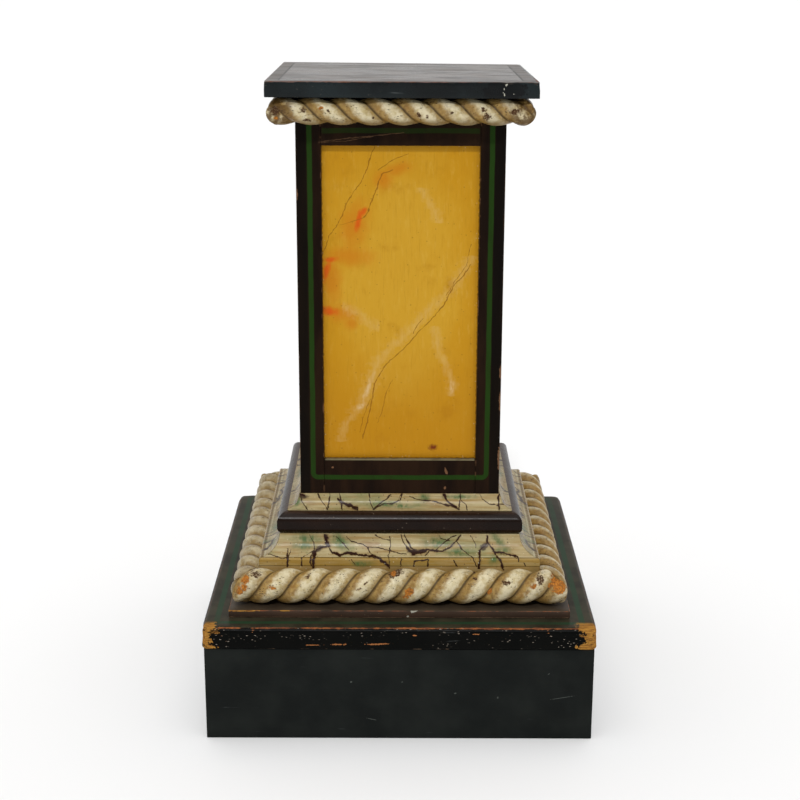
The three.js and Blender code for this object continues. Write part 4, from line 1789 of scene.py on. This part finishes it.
@dataclass
class RopeMoulding(Part):
    """A twisted rope moulding in four mitred lengths."""

    sizes: RopeSizes
    seed: float
    dark_chips: tuple[Spot, ...]
    raw_chips: tuple[Spot, ...]
    bites: tuple[Bite, ...]
    grime_and_side_shade: float
    around: int = 64
    row_length: float = 1.9
    swell: float = 0.45
    swell_size: float = 16.0
    ripple_size: float = 6.0
    highest: float = 0.1
    crease: float = math.radians(50)

    def build(self) -> None:
        """Builds and paints the four lengths."""
        rod = self.twisted_rod()
        for side in Side:
            node = f"{self.sizes.name}_{side.label}"
            chips = (self.dark_chips, self.raw_chips) if side is Side.FRONT else ((), ())
            paint = CreamRopePaint(self.sizes, side, self.seed, *chips, self.grime_and_side_shade)
            place_piece(self.carve(f"{node}_carving", rod, side), [node], paint.mixed())

    def twisted_rod(self) -> Shape:
        """Makes the twisted rod before it is cut, with its lines along the strands.

        Returns:
            The rod along the front, longer than the moulding at both ends.
        """
        sizes = self.sizes
        longest = sizes.centre_half + sizes.radius * 1.3
        rows = int(2 * longest / self.row_length)
        along = np.linspace(-longest, longest, rows + 1)[:, None]
        from_crown = (np.arange(self.around) * math.tau / self.around)[None, :]
        angle = from_crown + sizes.turn + sizes.lean * math.tau * along / sizes.lead
        reach = sizes.reach(from_crown)
        points = np.stack([np.broadcast_to(along, angle.shape),
                           -(sizes.centre_half + reach * np.cos(angle)),
                           sizes.centre_level + reach * np.sin(angle)], -1).reshape(-1, 3)
        return Shape(points, tube_faces(rows + 1, self.around))

    def carve(self, name: str, rod: Shape, side: Side) -> bpy.types.Object:
        """Cuts the rod's mitres and flats, and works it by hand.

        Args:
            name: The piece's name.
            rod: The twisted rod along the front.
            side: The side that the piece goes to.

        Returns:
            The piece.
        """
        sizes = self.sizes
        mesh = open_mesh(rod)
        bmesh.ops.recalc_face_normals(mesh, faces=mesh.faces[:])
        self.roughen(mesh, side)
        cuts = [((0, -MITRE_GAP, 0), (1, 1, 0)), ((0, -MITRE_GAP, 0), (-1, 1, 0)),
                ((0, -sizes.back_half, 0), (0, 1, 0)), ((0, 0, sizes.floor), (0, 0, -1)),
                ((0, 0, sizes.ceiling), (0, 0, 1))]
        for place, normal in cuts:
            cut_mesh(mesh, place, Vector(normal).normalized(), clear=True)
            rim = [edge for edge in mesh.edges if edge.is_boundary]
            if rim:
                bmesh.ops.holes_fill(mesh, edges=rim, sides=0)
        bmesh.ops.recalc_face_normals(mesh, faces=mesh.faces[:])
        return close_mesh(mesh, name, self.crease, side)

    def roughen(self, mesh: bmesh.types.BMesh, side: Side) -> None:
        """Makes the strands slightly uneven, as carved by hand, and takes the losses out.

        Args:
            mesh: The rod along the front.
            side: The side that it is for.
        """
        mesh.normal_update()
        drift = Vector((0, 0, 90.0 * side.value))
        bites = self.bites if side is Side.FRONT else ()
        for vert in mesh.verts:
            place = vert.co + drift
            swell = noise.noise(place / self.swell_size) + 0.5 * noise.noise(place / self.ripple_size)
            depth = self.swell * (swell - 0.4) - sum(bite.taken(vert.co) for bite in bites)
            vert.co += vert.normal * min(depth, self.highest)


@dataclass
class Shaft(Part):
    """The hollow shaft: on each side two stiles, two rails and a marbled panel."""

    def build(self) -> None:
        """Builds and paints the four sides."""
        shaft_half = -box_of("front_stile_right")[0][1]
        opening_half, _, panel_low = box_of("front_bottom_rail")[1]
        panel_high = box_of("front_top_rail")[0][2]
        for side in Side:
            paint = FramePaint(side, shaft_half, panel_low).mixed()
            for part in ("stile_left", "stile_right", "bottom_rail", "top_rail"):
                node = f"{side.label}_{part}"
                piece = make_piece(f"{node}_board", shape_of_solid(node), Handwork(ease=0.45, cell=13))
                place_piece(piece, [node], paint)
            node = f"{side.label}_panel"
            marble = YellowMarbling(side, panel_low, panel_high, opening_half).mixed()
            piece = make_piece(f"{node}_board", shape_of_solid(node),
                               Handwork(ease=0.4, cell=8, uneven=0.3))
            place_piece(piece, [node], marble)


@dataclass
class TopSlab(Part):
    """The square top slab, slightly warped, chipped at its front edge."""

    warp: float = 0.5
    back_drop: float = 2.0
    widening: float = 2.6
    line_in: float = 17.0

    def build(self) -> None:
        """Builds and paints the slab."""
        low, high = box_of("top_slab")
        half = high[0]
        front, top = low[1], high[2]
        bites = (Bite((130, front, top), 8, 1.3), Bite((127, front, top - 9), 5, 0.8),
                 Bite((half, front, top), 9, 1.5), Bite((-half, front, top), 7, 0.9),
                 Bite((60, front, top), 6, 0.5), Bite((half, 40, top), 9, 0.7))
        work = Handwork(ease=1.3, ease_steps=3, cell=5, uneven=0.3, uneven_size=160, bites=bites)
        piece = make_piece("top_slab_board", shape_of_solid("top_slab"), work)
        for vert in piece.data.vertices:
            right, back = vert.co.x / (half * MM), vert.co.y / (half * MM)
            upper = vert.co.z > (low[2] + top) / 2 * MM
            vert.co.z += self.warp * MM * (-(right + 1) / 2 if upper else (1 - right))
            if upper:
                vert.co.z -= self.back_drop * MM * (right + 1) * (back + 1) / 4
            vert.co.x += self.widening * MM * (right + 1) / 2
        paint = BlackPaint(
            name="slab_black", half=half, low=low[2], high=top,
            face=colour("0e1213"), face_tint=colour("1a2224"), top=colour("473a30"),
            top_tint=colour("2f2722"), line=colour("0c0f0c"), worn=colour("6b524c"),
            sheen=0.27, specular=0.16, scuffs=0.35, fleck_share=0.08, top_wear=1.2,
            top_wear_spread=0.8, top_relief=0.0, top_band=3.4, top_scratches=0.2,
            line_half=half - self.line_in, line_width=2.5,
            top_cracks=(Vein(((129, 143), (126, 90), (133, 50), (131, 12)), 0.4),),
            blots=(Spot(128, 839, 27, 14),),
            chips=(Spot(127.6, 834, 0.8, 2.4, 4), Spot(130, 846, 1.3, 1.5, -20),
                   Spot(127, 841, 0.7, 1.3), Spot(139, 835, 0.6, 0.5), Spot(126, 836.5, 0.5, 0.8)),
        ).mixed()
        place_piece(piece, ["top_slab"], paint)


@dataclass
class Studio:
    """The plain floor, the soft light and the camera of the photograph."""

    floor_reach: float = 400.0
    camera_distance: float = 2.1112
    camera_height: float = 1.0062
    tilt_down: float = 16.182
    roll: float = 0.172
    focal_share: float = 1554.255 / 800
    sensor: float = 36.0
    floor_colour: Colour = colour("f0f0f0")
    floor_roughness: float = 0.9
    floor_specular: float = 0.1
    front: float = 0.45
    backdrop: float = 1.16
    zenith: float = 0.45

    def build(self) -> None:
        """Sets up the floor, the light and the camera."""
        self.add_floor()
        self.add_sky()
        self.add_sun("overhead", tilt_forward=4.0, tilt_left=2.0, spread=60.0, power=1.4)
        self.add_sun("front_high", tilt_forward=44.0, tilt_left=2.0, spread=6.0, power=1.45)
        self.add_camera()
        bpy.context.scene.view_settings.view_transform = "Standard"
        log.info("studio: floor, light and camera")

    def add_floor(self) -> None:
        """Lays the pale floor."""
        reach = self.floor_reach
        corners = [(-reach, -reach, 0), (reach, -reach, 0), (reach, reach, 0), (-reach, reach, 0)]
        data = bpy.data.meshes.new("studio_floor")
        data.from_pydata(corners, [], [(0, 1, 2, 3)])
        floor = bpy.data.objects.new("studio_floor", data)
        bpy.context.scene.collection.objects.link(floor)
        material = bpy.data.materials.new("pale_floor")
        material.use_nodes = True
        shader = material.node_tree.nodes["Principled BSDF"]
        shader.inputs["Base Color"].default_value = self.floor_colour
        shader.inputs["Roughness"].default_value = self.floor_roughness
        shader.inputs["Specular IOR Level"].default_value = self.floor_specular
        data.materials.append(material)

    def add_sky(self) -> None:
        """Sets the pale light all round, brighter behind the stand and dimmer overhead."""
        world = bpy.data.worlds.new("studio_light")
        world.use_nodes = True
        nodes, links = world.node_tree.nodes, world.node_tree.links
        split = nodes.new("ShaderNodeSeparateXYZ")
        links.new(nodes.new("ShaderNodeTexCoord").outputs["Generated"], split.inputs[0])
        fades: list[Socket] = []
        rows = (("Y", -0.3, 0.5, self.front, self.backdrop), ("Z", 0.0, 0.6, 1.0, self.zenith))
        for axis, start, end, low, high in rows:
            fade = nodes.new("ShaderNodeMapRange")
            for socket, value in zip(fade.inputs[1:], (start, end, low, high)):
                socket.default_value = value
            links.new(split.outputs[axis], fade.inputs["Value"])
            fades.append(fade.outputs[0])
        strength = nodes.new("ShaderNodeMath")
        strength.operation = "MULTIPLY"
        for fade, socket in zip(fades, strength.inputs):
            links.new(fade, socket)
        links.new(strength.outputs[0], nodes["Background"].inputs["Strength"])
        nodes["Background"].inputs["Color"].default_value = (1.0, 1.0, 1.0, 1.0)
        bpy.context.scene.world = world

    def add_sun(self, name: str, tilt_forward: float, tilt_left: float, spread: float,
                power: float) -> None:
        """Adds one soft, far lamp above the stand.

        Args:
            name: The lamp's name.
            tilt_forward: How far it stands to the front of straight overhead, in degrees.
            tilt_left: How far it stands to the left, in degrees.
            spread: How wide it looks from the stand, in degrees.
            power: Its strength.
        """
        data = bpy.data.lights.new(name, "SUN")
        data.angle = math.radians(spread)
        data.energy = power
        lamp = bpy.data.objects.new(name, data)
        lamp.rotation_euler = Euler((math.radians(tilt_forward), math.radians(-tilt_left), 0))
        bpy.context.scene.collection.objects.link(lamp)

    def add_camera(self) -> None:
        """Sets the camera at the photograph's viewing angle."""
        data = bpy.data.cameras.new("camera")
        data.sensor_width = self.sensor
        data.lens = self.focal_share * self.sensor
        camera = bpy.data.objects.new("camera", data)
        tilt = Euler((math.radians(90 - self.tilt_down), 0, 0)).to_matrix().to_4x4()
        roll = Matrix.Rotation(math.radians(self.roll), 4, "Z")
        place = Matrix.Translation((0, -self.camera_distance, self.camera_height))
        camera.matrix_world = place @ tilt @ roll
        bpy.context.scene.collection.objects.link(camera)
        bpy.context.scene.camera = camera


def rope_mouldings() -> list[RopeMoulding]:
    """Gives the two rope mouldings with their losses.

    Returns:
        The lower and the upper rope.
    """
    fillet_half = -box_of("lower_cove_front")[0][1]
    shaft_half = -box_of("front_stile_left")[0][1]
    step_top = box_of("step_board")[1][2]
    slab_low = box_of("top_slab")[0][2]
    lower = RopeSizes("lower_rope", centre_half=198.8, centre_level=194.3, radius=23.4, lead=76.25,
                      lean=1.0, turn=1.42, back_half=fillet_half + TOUCH_GAP,
                      floor=step_top + TOUCH_GAP, ceiling=FAR)
    upper = RopeSizes("upper_rope", centre_half=150.2, centre_level=811.6, radius=17.3, lead=77.25,
                      lean=-1.0, turn=2.03, back_half=shaft_half + TOUCH_GAP,
                      floor=-FAR, ceiling=slab_low - TOUCH_GAP)
    return [
        RopeMoulding(
            lower, seed=120, grime_and_side_shade=0.15,
            dark_chips=(
                Spot(-189, 214, 6, 2.5, -10), Spot(-120, 213, 3, 1.6, 30), Spot(-5, 215, 9, 2.6, 10),
                Spot(140, 207, 5, 2.2), Spot(185, 210, 4.5, 5, 40), Spot(-44, 206, 3.5, 1.2, 30),
                Spot(-53, 199, 3, 1.2, 20), Spot(100, 211, 2.5, 1.2),
            ),
            raw_chips=(
                Spot(-202, 209, 5, 3.5, 30), Spot(-205, 200, 5, 4), Spot(-210, 196, 4, 5),
                Spot(-167, 200, 3.5, 2.2), Spot(12, 193, 4.5, 8, -35), Spot(176, 203, 4, 2.5, 20),
                Spot(209, 204, 10, 10), Spot(119, 194, 2.5, 4, -30), Spot(-8, 215, 4, 1.4),
            ),
            bites=(Bite((212, -212, 205), 15, 1.6), Bite((12, -219, 193), 8, 0.9),
                   Bite((-205, -212, 203), 10, 0.9), Bite((-5, -210, 215), 7, 0.5)),
        ),
        RopeMoulding(
            upper, seed=140, grime_and_side_shade=0.9,
            dark_chips=(
                Spot(-121, 814.5, 4, 3), Spot(-117, 802, 4.5, 1.8), Spot(-90, 813.5, 2.4, 1.6),
                Spot(-34, 805, 1.2, 2), Spot(22, 809, 2, 3.4, 30), Spot(33, 806.5, 1.6, 2),
                Spot(63, 811.5, 3, 1.4, 40), Spot(102, 816, 3.6, 2.4, -20),
                Spot(107, 807, 4, 4.4, -30), Spot(141, 813, 5, 3.4, 10), Spot(-156, 813, 5, 5),
            ),
            raw_chips=(Spot(-154, 804.5, 2.6, 2.0), Spot(-99, 817, 3, 2, 30)),
            bites=(Bite((107, -166, 808), 6, 0.6), Bite((141, -166, 813), 7, 0.6),
                   Bite((-121, -167, 814), 5, 0.4)),
        ),
    ]


def main() -> None:
    """Builds the stand piece by piece, then the studio."""
    logging.basicConfig(level=logging.INFO, format="%(name)s: %(message)s")
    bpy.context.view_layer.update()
    parts: list[Part] = [Plinth(), *rope_mouldings(), FootMouldings(), Shaft(), TopSlab()]
    for part in parts:
        part.build()
    Studio().build()
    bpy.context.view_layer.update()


if __name__ == "__main__":
    main()
